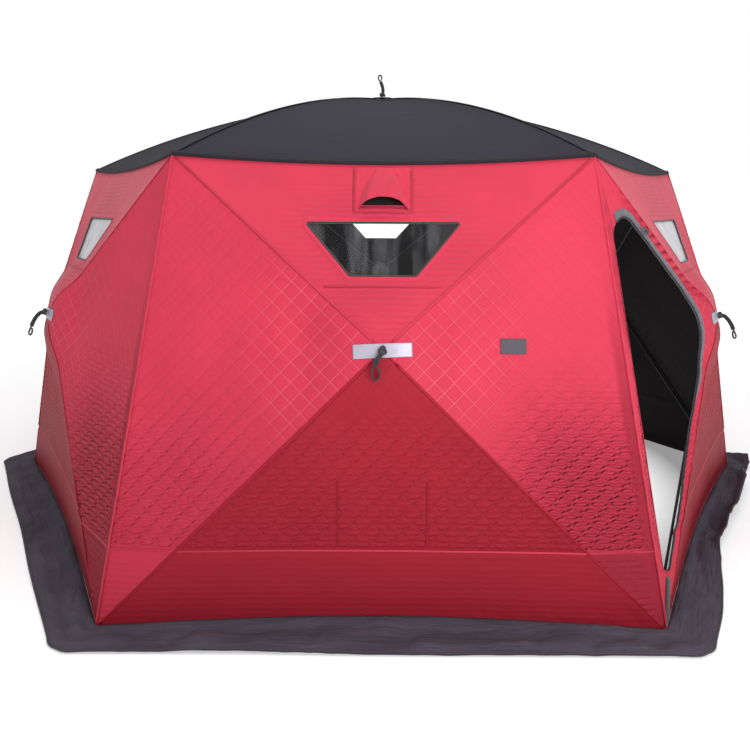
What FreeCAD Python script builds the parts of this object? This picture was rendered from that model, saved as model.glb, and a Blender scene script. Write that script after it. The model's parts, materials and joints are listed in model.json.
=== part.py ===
"""Six-sided pop-up ice fishing shelter with fold-out hubs: a parametric FreeCAD document.

Frame of the part: millimetres, +Z up, origin on the ground under the roof hub, front wall facing -Y.
The shelter repeats every 60 degrees about Z, so each sub-part is drawn once for the front wall and the
nodes are linked copies of it, turned to their own wall.
"""
import FreeCAD, Part
import math
import os
import Sketcher
from FreeCAD import Placement, Rotation, Vector

doc = FreeCAD.newDocument("IceShelter")

# ---------------------------------------------------------------- driving dimensions

DRIVING = {
    "base_side": 2050,            # corner to corner along the ground
    "top_side": 1552,             # corner to corner along the eave
    "eave_height": 1669,
    "apex_height": 2038,
    "hub_rise": 990,              # wall hub, measured up the slope of its wall
    "hub_bulge": 200.8,           # wall hub, out of the plane of its wall
    "wall_thick": 3,              # quilted wall fabric
    "roof_thick": 2,
    "seam_gap": 3,                # clearance kept round every fabric panel
    "hem_lift": 12,
    "tip_cut": 24,                # fabric left out round a hub, along each seam
    "roof_bow": 71,               # arch of the roof ridges over a straight line
    "roof_strips": 3,
    "rod_radius": 5.5,
    "ferrule_radius": 7.5,
    "ferrule_length": 60,
    "eye_radius": 8,
    "eye_neck": 15,               # eye's pin to the mouth of its ferrule
    "blade_thick": 8,
    "blade_half_height": 8,
    "pin_radius": 3,
    "pin_play": 0.05,
    "pin_half": 11,
    "ear_inner": 4.6,
    "ear_outer": 9,
    "pin_depth": 30,              # rod pins below the fabric
    "wall_pin_circle": 45,
    "roof_pin_circle": 80,
    "top_setback": 50,            # corner pins, back from the corner along the rod
    "bottom_setback": 75,
    "roof_setback": 60,
    "roof_pin_drop": 14,
    "wall_slot_play": 1.3,
    "roof_slot_play": 3.2,
    "hub_cap_radius": 55,
    "hub_cap_thick": 6,
    "hub_core_radius": 9,
    "wall_plate_radius": 64,
    "roof_plate_radius": 98,
    "plate_top": 48,              # inner hub plate, below the fabric
    "plate_thick": 6,
    "skirt_reach": 1940,          # flat to centre
    "skirt_corner": 2170,         # rounded corner to centre
    "skirt_thick": 2,
    "skirt_inner": 1779,
    "grommet_bore": 6,
    "grommet_sleeve": 11.8,
    "grommet_flange": 17,
    "grommet_flange_thick": 1.2,
    "grommet_side": 955,
    "grommet_out": 1868,
    "window_top": 1457,           # up the slope of the wall
    "window_bottom": 1260,
    "window_top_half": 272,
    "window_bottom_half": 115,
    "pane_lap": 18,
    "pane_thick": 1.2,
    "vent_half": 105,
    "vent_top": 1668,
    "vent_bottom": 1500,
    "vent_stand": 45,
    "vent_skin": 3,
    "door_margin": 48,            # doorway edge, in from the facet's own edges
    "door_hub_round": 280,
    "door_top_round": 150,
    "door_bottom_round": 40,
    "door_play": 5,
    "door_thick": 3,
    "door_park_angle": 73,        # how far the parked flap stands in from its closed place
    "zip_outer_margin": 24,
    "zip_thick": 2,
    "zip_trim": 62,
    "strap_width": 25,
    "strap_thick": 4,
    "strap_length": 118,
    "strap_gap": 8,               # from the knot's middle to the start of its tail
    "strap_lift": 2,
    "knot_size": 22,
    "fork_half": 9,
    "fork_reach": 18,             # a corner fork's ears, back from its pin
    "fork_root_near": 13,
    "fork_root_far": 28,
    "bracket_back": 22,           # where the forks of a bracket meet its ball
    "bracket_ball": 8,
    "foot_radius": 22,
    "foot_thick": 5,
    "foot_stem_radius": 9,
    "blade_root": 20,             # rod's flat end, back from its near slot centre
    "blade_past_pin": 7,
    "end_overlap": 4,             # a rod's tube inside its end pieces
    "hub_cap_chamfer": 6,
    "slider_half_length": 14,
    "slider_half_width": 8,
    "slider_thick": 7,
    "tab_from": 10,
    "tab_to": 52,
    "tab_half_width": 4,
    "tab_under": 4,
    "tab_over": 6.5,
}


def make_sheet(values):
    sheet = doc.addObject("Spreadsheet::Sheet", "Sizes")
    for row, (alias, value) in enumerate(values.items(), start=1):
        sheet.set(f"A{row}", alias)
        sheet.set(f"B{row}", str(value))
        sheet.setAlias(f"B{row}", alias)
    doc.recompute()
    return sheet


def derived_sizes(d):
    """Lengths that follow from the driving dimensions by plane geometry."""
    out = {}
    root3 = math.sqrt(3)
    out["base_apothem"] = d["base_side"] * root3 / 2
    out["top_apothem"] = d["top_side"] * root3 / 2
    run = out["base_apothem"] - out["top_apothem"]
    out["wall_slope"] = math.hypot(run, d["eave_height"])
    out["wall_lean"] = math.degrees(math.atan2(run, d["eave_height"]))
    travel = d["hub_bulge"]
    for name, half, rise, setback in (
            ("upper", d["top_side"] / 2, out["wall_slope"] - d["hub_rise"], d["top_setback"]),
            ("lower", d["base_side"] / 2, d["hub_rise"], d["bottom_setback"])):
        reach = math.hypot(half, rise) - setback - d["wall_pin_circle"]
        out[f"{name}_reach"] = reach
        out[f"{name}_length"] = math.hypot(reach, travel)
    roof_reach = d["top_side"] - d["roof_setback"] - d["roof_pin_circle"]
    roof_rise = (d["apex_height"] - d["pin_depth"]) - (d["eave_height"] - d["roof_pin_drop"])
    out["roof_reach"] = roof_reach
    out["roof_length"] = math.hypot(roof_reach, roof_rise)
    out["roof_arc_span"] = roof_reach - d["blade_root"]
    out["roof_arc_angle"] = math.degrees(2 * math.atan(2 * d["roof_bow"] / out["roof_arc_span"]))
    out["roof_arc_radius"] = out["roof_arc_span"] / (2 * math.sin(math.radians(out["roof_arc_angle"])))
    return out


SIZE = dict(DRIVING)
SIZE.update(derived_sizes(DRIVING))


# ---------------------------------------------------------------- places, worked out from the sizes

def wall_frame():
    """Front wall: x to the right seen from outside, y up the slope, z outward, origin mid hem."""
    return Placement(Vector(0, -SIZE["base_apothem"], 0), Rotation(Vector(1, 0, 0), 90 - SIZE["wall_lean"]))


def hub_frame():
    return wall_frame() * Placement(Vector(0, SIZE["hub_rise"], SIZE["hub_bulge"]), Rotation())


def turned(k):
    return Placement(Vector(), Rotation(Vector(0, 0, 1), 60 * k))


CORNERS = {
    "base_left": Vector(-SIZE["base_side"] / 2, 0, 0),
    "base_right": Vector(SIZE["base_side"] / 2, 0, 0),
    "eave_left": Vector(-SIZE["top_side"] / 2, SIZE["wall_slope"], 0),
    "eave_right": Vector(SIZE["top_side"] / 2, SIZE["wall_slope"], 0),
}
FACETS = {
    "bottom": ("base_left", "base_right"),
    "right": ("base_right", "eave_right"),
    "top": ("eave_right", "eave_left"),
    "left": ("eave_left", "base_left"),
}


def axes_placement(origin, x_axis, z_hint):
    """A placement with x along x_axis and z as near z_hint as it can be."""
    x_unit = Vector(x_axis).normalize()
    y_unit = z_hint.cross(x_unit).normalize()
    z_unit = x_unit.cross(y_unit)
    return Placement(origin, Rotation(x_unit, y_unit, z_unit, "ZXY"))


def facet_frame(facet):
    """Facet frame inside the wall frame: x along the outer edge, y towards the hub, z outward."""
    start, end = (CORNERS[name] for name in FACETS[facet])
    hub = Vector(0, SIZE["hub_rise"], SIZE["hub_bulge"])
    along = (end - start).normalize()
    normal = along.cross(hub - start).normalize()
    return axes_placement(start, along, normal)


def facet_sizes(facet):
    """Outer edge, foot of the hub along it, and the hub's distance from it."""
    start, end = (CORNERS[name] for name in FACETS[facet])
    hub = Vector(0, SIZE["hub_rise"], SIZE["hub_bulge"])
    edge = (end - start).Length
    foot = (hub - start).dot((end - start).normalize())
    return edge, foot, math.sqrt((hub - start).Length ** 2 - foot ** 2)


for facet_name in FACETS:
    edge_length, hub_foot, hub_height = facet_sizes(facet_name)
    side_a = math.hypot(hub_foot, hub_height)
    side_b = math.hypot(edge_length - hub_foot, hub_height)
    around = edge_length + side_a + side_b
    SIZE[f"{facet_name}_edge"] = edge_length
    SIZE[f"{facet_name}_foot"] = hub_foot
    SIZE[f"{facet_name}_depth"] = hub_height
    SIZE[f"{facet_name}_inradius"] = edge_length * hub_height / around
    SIZE[f"{facet_name}_centre"] = (side_a * edge_length + edge_length * hub_foot) / around
    SIZE[f"{facet_name}_tip_a"] = SIZE["tip_cut"] / side_a
    SIZE[f"{facet_name}_tip_b"] = SIZE["tip_cut"] / side_b


def ridge_point(fraction):
    """Distance from the axis and height of a roof ridge, from the eave corner (0) to the apex (1)."""
    run, rise = SIZE["top_side"], SIZE["apex_height"] - SIZE["eave_height"]
    chord = math.hypot(run, rise)
    slope = math.atan2(rise, run)
    half = 2 * math.atan(2 * SIZE["roof_bow"] / chord)
    radius = chord / (2 * math.sin(half))
    angle = half * (1 - 2 * fraction)
    along = chord / 2 - radius * math.sin(angle)
    above = radius * (math.cos(angle) - math.cos(half))
    return (run - along * math.cos(slope) + above * math.sin(slope),
            SIZE["eave_height"] + along * math.sin(slope) + above * math.cos(slope))


for strip in range(SIZE["roof_strips"] + 1):
    reach, height = ridge_point(strip / SIZE["roof_strips"])
    SIZE[f"ridge_reach_{'abcdefgh'[strip]}"] = max(reach, SIZE["tip_cut"])
    SIZE[f"ridge_height_{'abcdefgh'[strip]}"] = height

sizes = make_sheet(SIZE)


# ---------------------------------------------------------------- drawing helpers

def bind(obj, prop, expression):
    obj.setExpression(prop, expression)


def origin_plane(body, role):
    return next(feature for feature in body.Origin.OriginFeatures if feature.Role == role)


def value_of(expression):
    return float(sizes.evalExpression(expression))


def outline_sketch(body, name, role, points):
    """A closed outline whose corners sit at the given pairs of expressions."""
    sketch = body.newObject("Sketcher::SketchObject", name)
    sketch.AttachmentSupport = [(origin_plane(body, role), "")]
    sketch.MapMode = "FlatFace"
    places = [Vector(value_of(x), value_of(y), 0) for x, y in points]
    count = len(points)
    for i in range(count):
        sketch.addGeometry(Part.LineSegment(places[i], places[(i + 1) % count]), False)
    for i in range(count):
        sketch.addConstraint(Sketcher.Constraint("Coincident", i, 2, (i + 1) % count, 1))
    for i, (pair, place) in enumerate(zip(points, places)):
        for kind, expression, start in (("DistanceX", pair[0], place.x), ("DistanceY", pair[1], place.y)):
            index = sketch.addConstraint(Sketcher.Constraint(kind, -1, 1, i, 1, start))
            bind(sketch, f"Constraints[{index}]", expression)
    return sketch


def plate(name, points, thickness, outward=False):
    """A flat panel: its outer face in the XY plane, its thickness below it, or above if outward."""
    body = doc.addObject("PartDesign::Body", name)
    sketch = outline_sketch(body, f"{name}_outline", "XY_Plane", points)
    pad = body.newObject("PartDesign::Pad", f"{name}_pad")
    pad.Profile = sketch
    pad.Reversed = not outward
    bind(pad, "Length", thickness)
    doc.recompute()
    return body


def box(name, low, high):
    """A Part::Box between two corners given as expressions."""
    shape = doc.addObject("Part::Box", name)
    for prop, start, end in zip(("Length", "Width", "Height"), low, high):
        bind(shape, prop, f"({end}) - ({start})")
    for axis, start in zip("xyz", low):
        bind(shape, f".Placement.Base.{axis}", start)
    return shape


def cylinder(name, radius, length, placement=None):
    shape = doc.addObject("Part::Cylinder", name)
    bind(shape, "Radius", radius)
    bind(shape, "Height", length)
    if placement:
        shape.Placement = placement
    return shape


def fuse(name, shapes):
    result = doc.addObject("Part::MultiFuse", name)
    result.Shapes = shapes
    doc.recompute()
    return result


def cut(name, base, tool):
    result = doc.addObject("Part::Cut", name)
    result.Base = base
    result.Tool = tool
    doc.recompute()
    return result


def linked(obj, placement):
    link = doc.addObject("App::Link", f"{obj.Name}_copy")
    link.LinkedObject = obj
    link.LinkPlacement = placement * obj.Placement
    return link


NODES = []


def node(label, copies):
    """A finished sub-part: copies of drawn pieces, each as (piece, placement)."""
    group = doc.addObject("Part::Compound", label)
    group.Label = label
    group.Links = [linked(piece, placement) for piece, placement in copies]
    doc.recompute()
    NODES.append(group)
    return group


ALONG_X = Rotation(Vector(0, 1, 0), 90)
ALONG_MINUS_Y = Rotation(Vector(1, 0, 0), 90)


def cross_pin(name, radius, half_length, centre):
    """A cylinder along Y, centred on a point."""
    shape = cylinder(name, radius, f"2 * ({half_length})")
    shape.Placement = Placement(centre + Vector(0, value_of(half_length), 0), ALONG_MINUS_Y)
    return shape


# ---------------------------------------------------------------- fabric panels

def facet_point(facet, corner, margin):
    """A facet's corner after every edge has moved in by margin."""
    x, y = {"a": ("0", "0"), "b": (f"Sizes.{facet}_edge", "0"),
            "hub": (f"Sizes.{facet}_foot", f"Sizes.{facet}_depth")}[corner]
    keep = f"(1 - ({margin}) / Sizes.{facet}_inradius)"
    centre = (f"Sizes.{facet}_centre", f"Sizes.{facet}_inradius")
    return f"{centre[0]} + ({x} - {centre[0]}) * {keep}", f"{centre[1]} + ({y} - {centre[1]}) * {keep}"


def blend_point(start, end, share):
    return tuple(f"({a}) + (({b}) - ({a})) * {share}" for a, b in zip(start, end))


def fabric_facet(facet):
    """One triangular wall panel, its tip cut back to clear the hub."""
    corner_a = facet_point(facet, "a", "Sizes.seam_gap")
    corner_b = facet_point(facet, "b", "Sizes.seam_gap")
    hub = facet_point(facet, "hub", "Sizes.seam_gap")
    if facet == "bottom":
        lift = "(Sizes.hem_lift - Sizes.seam_gap) / Sizes.bottom_depth"
        corner_a, corner_b = blend_point(corner_a, hub, lift), blend_point(corner_b, hub, lift)
    points = [corner_a, corner_b,
              blend_point(hub, corner_b, f"Sizes.{facet}_tip_b"),
              blend_point(hub, corner_a, f"Sizes.{facet}_tip_a")]
    return plate(f"{facet}_facet", points, "Sizes.wall_thick")


def window_outline(name, lap, thickness):
    """The window's trapezium in the top facet's frame, widened all round by lap."""
    stretch = "Sizes.top_depth / (Sizes.wall_slope - Sizes.hub_rise)"
    near = f"(Sizes.wall_slope - Sizes.window_top) * {stretch} - ({lap})"
    far = f"(Sizes.wall_slope - Sizes.window_bottom) * {stretch} + ({lap})"
    points = [(f"Sizes.top_foot - Sizes.window_top_half - ({lap})", near),
              (f"Sizes.top_foot + Sizes.window_top_half + ({lap})", near),
              (f"Sizes.top_foot + Sizes.window_bottom_half + ({lap})", far),
              (f"Sizes.top_foot - Sizes.window_bottom_half - ({lap})", far)]
    return plate(name, points, thickness)


def make_facets():
    panels = {facet: fabric_facet(facet) for facet in FACETS}
    opening = window_outline("window_opening", "0", "Sizes.wall_thick + 2")
    opening_tool = linked(opening, Placement(Vector(0, 0, 1), Rotation()))
    panels["top"] = cut("top_facet_windowed", panels["top"], opening_tool)
    return panels


def door_outline(name, margin, thickness):
    """The leaf-shaped doorway in the left facet's frame: a triangle with three rounded corners."""
    points = [facet_point("left", corner, margin) for corner in ("a", "b", "hub")]
    body = plate(name, points, thickness)
    rounds = zip(points, ("door_top_round", "door_bottom_round", "door_hub_round"))
    for (x, y), radius in rounds:
        corner = Vector(value_of(x), value_of(y), 0)
        tip = body.Tip
        edges = []
        for index, edge in enumerate(tip.Shape.Edges, start=1):
            ends = [vertex.Point for vertex in edge.Vertexes]
            if len(ends) == 2 and all(math.hypot(p.x - corner.x, p.y - corner.y) < 0.01 for p in ends):
                edges.append(f"Edge{index}")
        fillet = body.newObject("PartDesign::Fillet", f"{name}_{radius}")
        fillet.Base = (tip, edges)
        bind(fillet, "Radius", f"Sizes.{radius}")
        doc.recompute()
    return body


def roof_strip(index):
    """One flat strip of a roof sector, between two level lines across neighbouring ridges."""
    low, high = "abcdefgh"[index], "abcdefgh"[index + 1]
    apothem = math.cos(math.radians(30))
    fall = f"(Sizes.ridge_reach_{low} - Sizes.ridge_reach_{high}) * {apothem}"
    rise = f"Sizes.ridge_height_{high} - Sizes.ridge_height_{low}"
    length = f"sqrt(({fall}) ^ 2 + ({rise}) ^ 2)"
    gap = "Sizes.seam_gap"
    near = gap if index == 0 else f"{gap} / 2"
    half_low = f"Sizes.ridge_reach_{low} / 2 - {gap}"
    half_high = f"Sizes.ridge_reach_{high} / 2 - {gap}"
    points = [(f"0 - ({half_low})", near), (half_low, near),
              (half_high, f"{length} - {gap} / 2"), (f"0 - ({half_high})", f"{length} - {gap} / 2")]
    body = plate(f"roof_strip_{low}", points, "Sizes.roof_thick")
    slope = math.degrees(math.atan2(value_of(rise), value_of(fall)))
    origin = Vector(0, -SIZE[f"ridge_reach_{low}"] * apothem, SIZE[f"ridge_height_{low}"])
    return body, Placement(origin, Rotation(Vector(1, 0, 0), slope))


def skirt_panel():
    """One side of the snow skirt, flat on the ground, with its outer corners rounded and one eyelet hole."""
    slant = math.tan(math.radians(30))
    half_in = f"Sizes.skirt_inner * {slant} - 1"
    half_out = f"Sizes.skirt_reach * {slant} - 1"
    points = [(f"0 - ({half_in})", "0 - Sizes.skirt_inner"), (half_in, "0 - Sizes.skirt_inner"),
              (half_out, "0 - Sizes.skirt_reach"), (f"0 - ({half_out})", "0 - Sizes.skirt_reach")]
    panel = plate("skirt_panel", points, "Sizes.skirt_thick", outward=True)
    disc = cylinder("skirt_disc", "Sizes.skirt_corner", "Sizes.skirt_thick")
    rounded = doc.addObject("Part::Common", "skirt_rounded")
    rounded.Base = panel
    rounded.Tool = disc
    hole = cylinder("skirt_eyelet_hole", "Sizes.grommet_sleeve + 0.2", "Sizes.skirt_thick")
    bind(hole, ".Placement.Base.x", "Sizes.grommet_side")
    bind(hole, ".Placement.Base.y", "0 - Sizes.grommet_out")
    return cut("skirt_side", rounded, hole)


def grommet():
    """A brass eyelet set in the skirt: sleeve through the cloth, flange on top."""
    body = doc.addObject("PartDesign::Body", "grommet")
    points = [("Sizes.grommet_bore", "0"), ("Sizes.grommet_sleeve", "0"),
              ("Sizes.grommet_sleeve", "Sizes.skirt_thick"), ("Sizes.grommet_flange", "Sizes.skirt_thick"),
              ("Sizes.grommet_flange", "Sizes.skirt_thick + Sizes.grommet_flange_thick"),
              ("Sizes.grommet_bore", "Sizes.skirt_thick + Sizes.grommet_flange_thick")]
    return spun(body, points)


def spun(body, points):
    """A revolution about Z of a profile given as distance from the axis and height."""
    sketch = outline_sketch(body, f"{body.Name}_profile", "XZ_Plane", points)
    turn = body.newObject("PartDesign::Revolution", f"{body.Name}_turn")
    turn.Profile = sketch
    turn.ReferenceAxis = (sketch, ["V_Axis"])
    turn.Angle = 360
    doc.recompute()
    return body


def vent_hood():
    """A raised cloth hood in the top facet's frame, open along its lower edge."""
    stretch = "Sizes.top_depth / (Sizes.wall_slope - Sizes.hub_rise)"
    near = f"(Sizes.wall_slope - Sizes.vent_top) * {stretch}"
    far = f"(Sizes.wall_slope - Sizes.vent_bottom) * {stretch}"
    wedges = []
    for name, inset in (("vent_outer", "0"), ("vent_inner", "Sizes.vent_skin")):
        body = doc.addObject("PartDesign::Body", name)
        far_side = f"({far}) + 4 * ({inset})"
        length_share = f"(({far_side}) - ({near}) - 2 * ({inset})) / (({far}) - ({near}))"
        stand = f"(Sizes.vent_stand - 1.2 * ({inset})) * {length_share}"
        base = "0.4" if inset == "0" else "0.1"
        points = [(f"({near}) + 2 * ({inset})", base), (far_side, base), (far_side, f"({stand}) + {base}")]
        sketch = outline_sketch(body, f"{name}_profile", "YZ_Plane", points)
        pad = body.newObject("PartDesign::Pad", f"{name}_pad")
        pad.Profile = sketch
        pad.Midplane = True
        bind(pad, "Length", f"2 * (Sizes.vent_half - ({inset}))")
        doc.recompute()
        wedges.append(body)
    return cut("vent_shell", *wedges)


# ---------------------------------------------------------------- hubs, clevises, brackets

def hub_spindle(name, plate_radius):
    """Cap outside the cloth, core through it and plate inside, turned as one piece."""
    body = doc.addObject("PartDesign::Body", name)
    under = "0 - Sizes.plate_top"
    points = [("0", f"{under} - Sizes.plate_thick"), (plate_radius, f"{under} - Sizes.plate_thick"),
              (plate_radius, under), ("Sizes.hub_core_radius", under), ("Sizes.hub_core_radius", "1"),
              ("Sizes.hub_cap_radius", "1"),
              ("Sizes.hub_cap_radius - Sizes.hub_cap_chamfer", "1 + Sizes.hub_cap_thick"),
              ("0", "1 + Sizes.hub_cap_thick")]
    return spun(body, points)


def hub_clevis(name, pin_circle):
    """Two ears on the hub's inner plate with a pin between them, for a rod that leaves along x."""
    ears = []
    for side, low, high in (("right", "Sizes.ear_inner", "Sizes.ear_outer"),
                            ("left", "0 - Sizes.ear_outer", "0 - Sizes.ear_inner")):
        ears.append(box(f"{name}_{side}", (f"{pin_circle} - 9", low, "0 - Sizes.plate_top - 1"),
                        (f"{pin_circle} + 8", high, "9 - Sizes.pin_depth")))
    centre = Vector(value_of(pin_circle), 0, -SIZE["pin_depth"])
    pin = cross_pin(f"{name}_pin", "Sizes.pin_radius", "Sizes.pin_half", centre)
    return fuse(name, ears + [pin])


def hub(name, plate_radius, pin_circle, headings):
    spindle = hub_spindle(f"{name}_spindle", plate_radius)
    clevis = hub_clevis(f"{name}_clevis", pin_circle)
    arms = [linked(clevis, Placement(Vector(), Rotation(Vector(0, 0, 1), angle))) for angle in headings]
    return fuse(name, [spindle] + arms)


def corner_clevis():
    """Fork for a rod's eye: origin on the pin, x along the rod, y along the pin."""
    half, under = "Sizes.fork_half", "0 - Sizes.fork_half"
    behind = "0 - Sizes.fork_reach"
    root_far, root_near = "0 - Sizes.fork_root_far", "0 - Sizes.fork_root_near"
    inner, outer = "Sizes.ear_inner", "Sizes.ear_outer"
    parts = [box("fork_right", (behind, inner, under), (half, outer, half)),
             box("fork_left", (behind, f"0 - {outer}", under), (half, f"0 - {inner}", half)),
             box("fork_root", (root_far, f"0 - {outer}", under), (root_near, outer, half)),
             cross_pin("fork_pin", "Sizes.pin_radius", "Sizes.pin_half", Vector())]
    return fuse("corner_fork", parts)


def rod_heading(level, side):
    """Unit vector in the wall's plane from the corner towards the hub."""
    corner = CORNERS[f"{'eave' if level == 'upper' else 'base'}_{side}"]
    return (Vector(0, SIZE["hub_rise"], 0) - corner).normalize()


def corner_pin_frame(level, side):
    """The corner pin in the front wall's frame, with x towards the hub along the wall's plane."""
    corner = CORNERS[f"{'eave' if level == 'upper' else 'base'}_{side}"]
    setback = SIZE["top_setback"] if level == "upper" else SIZE["bottom_setback"]
    heading = rod_heading(level, side)
    origin = corner + heading * setback + Vector(0, 0, -SIZE["pin_depth"])
    return axes_placement(origin, heading, Vector(0, 0, 1))


def roof_pin_frame():
    """The roof rod's pin at the corner shared by the front and front-right walls, x towards the axis."""
    reach = SIZE["top_side"] - SIZE["roof_setback"]
    out = Vector(math.cos(math.radians(-60)), math.sin(math.radians(-60)), 0)
    origin = out * reach + Vector(0, 0, SIZE["eave_height"] - SIZE["roof_pin_drop"])
    return axes_placement(origin, out * -1, Vector(0, 0, 1))


def bracket(name, frames, extras):
    """Forks joined by a ball behind them, for the corner between the front and front-right walls."""
    fork = doc.getObject("corner_fork") or corner_clevis()
    back = Vector(-SIZE["bracket_back"], 0, 0)
    roots = [frame.multVec(back) for frame in frames]
    middle = Vector()
    for root in roots:
        middle = middle + root
    middle = middle * (1 / len(roots))
    ball = doc.addObject("Part::Sphere", f"{name}_ball")
    ball.Radius = SIZE["bracket_ball"] + max((root - middle).Length for root in roots) * 0.62
    ball.Placement = Placement(middle, Rotation())
    pieces = [linked(fork, frame) for frame in frames] + [ball]
    for extra in extras:
        pieces.append(extra(middle))
    return fuse(name, pieces)


def bracket_foot(middle):
    """Disc and stem under a bottom bracket, down to the ground."""
    disc = cylinder("bracket_foot_disc", "Sizes.foot_radius", "Sizes.foot_thick")
    disc.Placement = Placement(Vector(middle.x, middle.y, 0), Rotation())
    stem = cylinder("bracket_foot_stem", "Sizes.foot_stem_radius", str(middle.z))
    stem.Placement = Placement(Vector(middle.x, middle.y, 0), Rotation())
    return fuse("bracket_foot", [disc, stem])


# ---------------------------------------------------------------- rods

def rod_pieces(name, play, bend=0.0):
    """Corner end, tube and slotted hub end of a rod: corner pin at the origin, hub pin along x."""
    reach, length = f"Sizes.{name}_reach", f"Sizes.{name}_length"
    first = SIZE["eye_neck"] + SIZE["ferrule_length"]
    last = SIZE["ferrule_length"] - SIZE["end_overlap"]
    tilt = Rotation(Vector(0, 1, 0), -bend)
    eye = cross_pin(f"{name}_eye", "Sizes.eye_radius", "Sizes.blade_thick / 2", Vector())
    half = "Sizes.blade_thick / 2"
    tall = "Sizes.blade_half_height"
    neck = box(f"{name}_neck", ("0", f"0 - {half}", "2 - Sizes.eye_radius"),
               ("Sizes.eye_neck + Sizes.end_overlap", half, "Sizes.eye_radius - 2"))
    neck.Placement = Placement(Vector(), tilt) * neck.Placement
    socket = cylinder(f"{name}_socket", "Sizes.ferrule_radius", "Sizes.ferrule_length")
    socket.Placement = Placement(tilt.multVec(Vector(SIZE["eye_neck"], 0, 0)), tilt * ALONG_X)
    bore = cross_pin(f"{name}_bore", "Sizes.pin_radius + Sizes.pin_play", "Sizes.blade_thick", Vector())
    corner_end = cut(f"{name}_corner_end", fuse(f"{name}_corner_blank", [eye, neck, socket]), bore)

    blade = box(f"{name}_blade", (f"{reach} - Sizes.blade_root - 2", f"0 - {half}", f"0 - {tall}"),
                (f"{length} + Sizes.pin_radius + Sizes.blade_past_pin", half, tall))
    blade_root = Vector(SIZE[f"{name}_reach"] - SIZE["blade_root"], 0, 0)
    far_tilt = Rotation(Vector(0, 1, 0), bend)
    sleeve = cylinder(f"{name}_sleeve", "Sizes.ferrule_radius", "Sizes.ferrule_length")
    sleeve.Placement = Placement(blade_root - far_tilt.multVec(Vector(last, 0, 0)),
                                 far_tilt * ALONG_X)
    wide = f"(Sizes.pin_radius + {play})"
    slot_box = box(f"{name}_slot_box", (reach, "0 - Sizes.blade_thick", f"0 - {wide}"),
                   (length, "Sizes.blade_thick", wide))
    slot_ends = [cross_pin(f"{name}_slot_{end}", wide, "Sizes.blade_thick", Vector(at, 0, 0))
                 for end, at in (("near", SIZE[f"{name}_reach"]), ("far", SIZE[f"{name}_length"]))]
    slot = fuse(f"{name}_slot", [slot_box] + slot_ends)
    hub_end = cut(f"{name}_hub_end", fuse(f"{name}_hub_blank", [blade, sleeve]), slot)

    if bend:
        tube = doc.addObject("Part::Torus", f"{name}_tube")
        bind(tube, "Radius1", "Sizes.roof_arc_radius")
        bind(tube, "Radius2", "Sizes.rod_radius")
        radius = SIZE["roof_arc_radius"]
        start = bend - math.degrees(first / radius)
        sweep = 2 * bend - math.degrees((first + last) / radius)
        tube.Angle3 = sweep
        centre = Vector(SIZE["roof_arc_span"] / 2, 0, -radius * math.cos(math.radians(bend)))
        stand = Rotation(Vector(1, 0, 0), 90) * Rotation(Vector(0, 0, 1), 90 + start - sweep)
        tube.Placement = Placement(centre, stand)
    else:
        tube = cylinder(f"{name}_tube", "Sizes.rod_radius", f"{reach} - Sizes.blade_root - {first + last}")
        tube.Placement = Placement(Vector(first, 0, 0), ALONG_X)
    doc.recompute()
    return [corner_end, tube, hub_end]


def rod_frame(pin_frame, reach, rise):
    """A rod's own frame at rest: at its corner pin, tilted outward by its rise over its reach."""
    lift = math.degrees(math.atan2(rise, reach))
    return pin_frame * Placement(Vector(), Rotation(Vector(0, 1, 0), -lift))


# ---------------------------------------------------------------- straps, zip

def strap(name):
    """A folded webbing pull with a knot at the hub: origin on the cap, hanging along -y."""
    knot = box(f"{name}_knot", ("0 - Sizes.knot_size / 2", "0 - Sizes.knot_size / 2", "0"),
               ("Sizes.knot_size / 2", "Sizes.knot_size / 2", "Sizes.knot_size * 0.6"))
    tail = box(f"{name}_tail", ("0 - Sizes.strap_width / 2", "0 - Sizes.strap_length", "Sizes.strap_lift"),
               ("Sizes.strap_width / 2", "0 - Sizes.strap_gap", "Sizes.strap_lift + Sizes.strap_thick"))
    return fuse(name, [knot, tail])


def zip_slider():
    """Slider body and pull tab: origin on the tape, x along the zip."""
    long, wide, tab = "Sizes.slider_half_length", "Sizes.slider_half_width", "Sizes.tab_half_width"
    parts = [box("slider_body", (f"0 - {long}", f"0 - {wide}", "0"), (long, wide, "Sizes.slider_thick")),
             box("slider_tab", ("Sizes.tab_from", f"0 - {tab}", "Sizes.tab_under"),
                 ("Sizes.tab_to", tab, "Sizes.tab_over"))]
    return fuse("slider", parts)


# ---------------------------------------------------------------- nodes

WALLS = ("front", "front_right", "back_right", "back", "back_left", "front_left")
AT_WALL = wall_frame()


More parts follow.
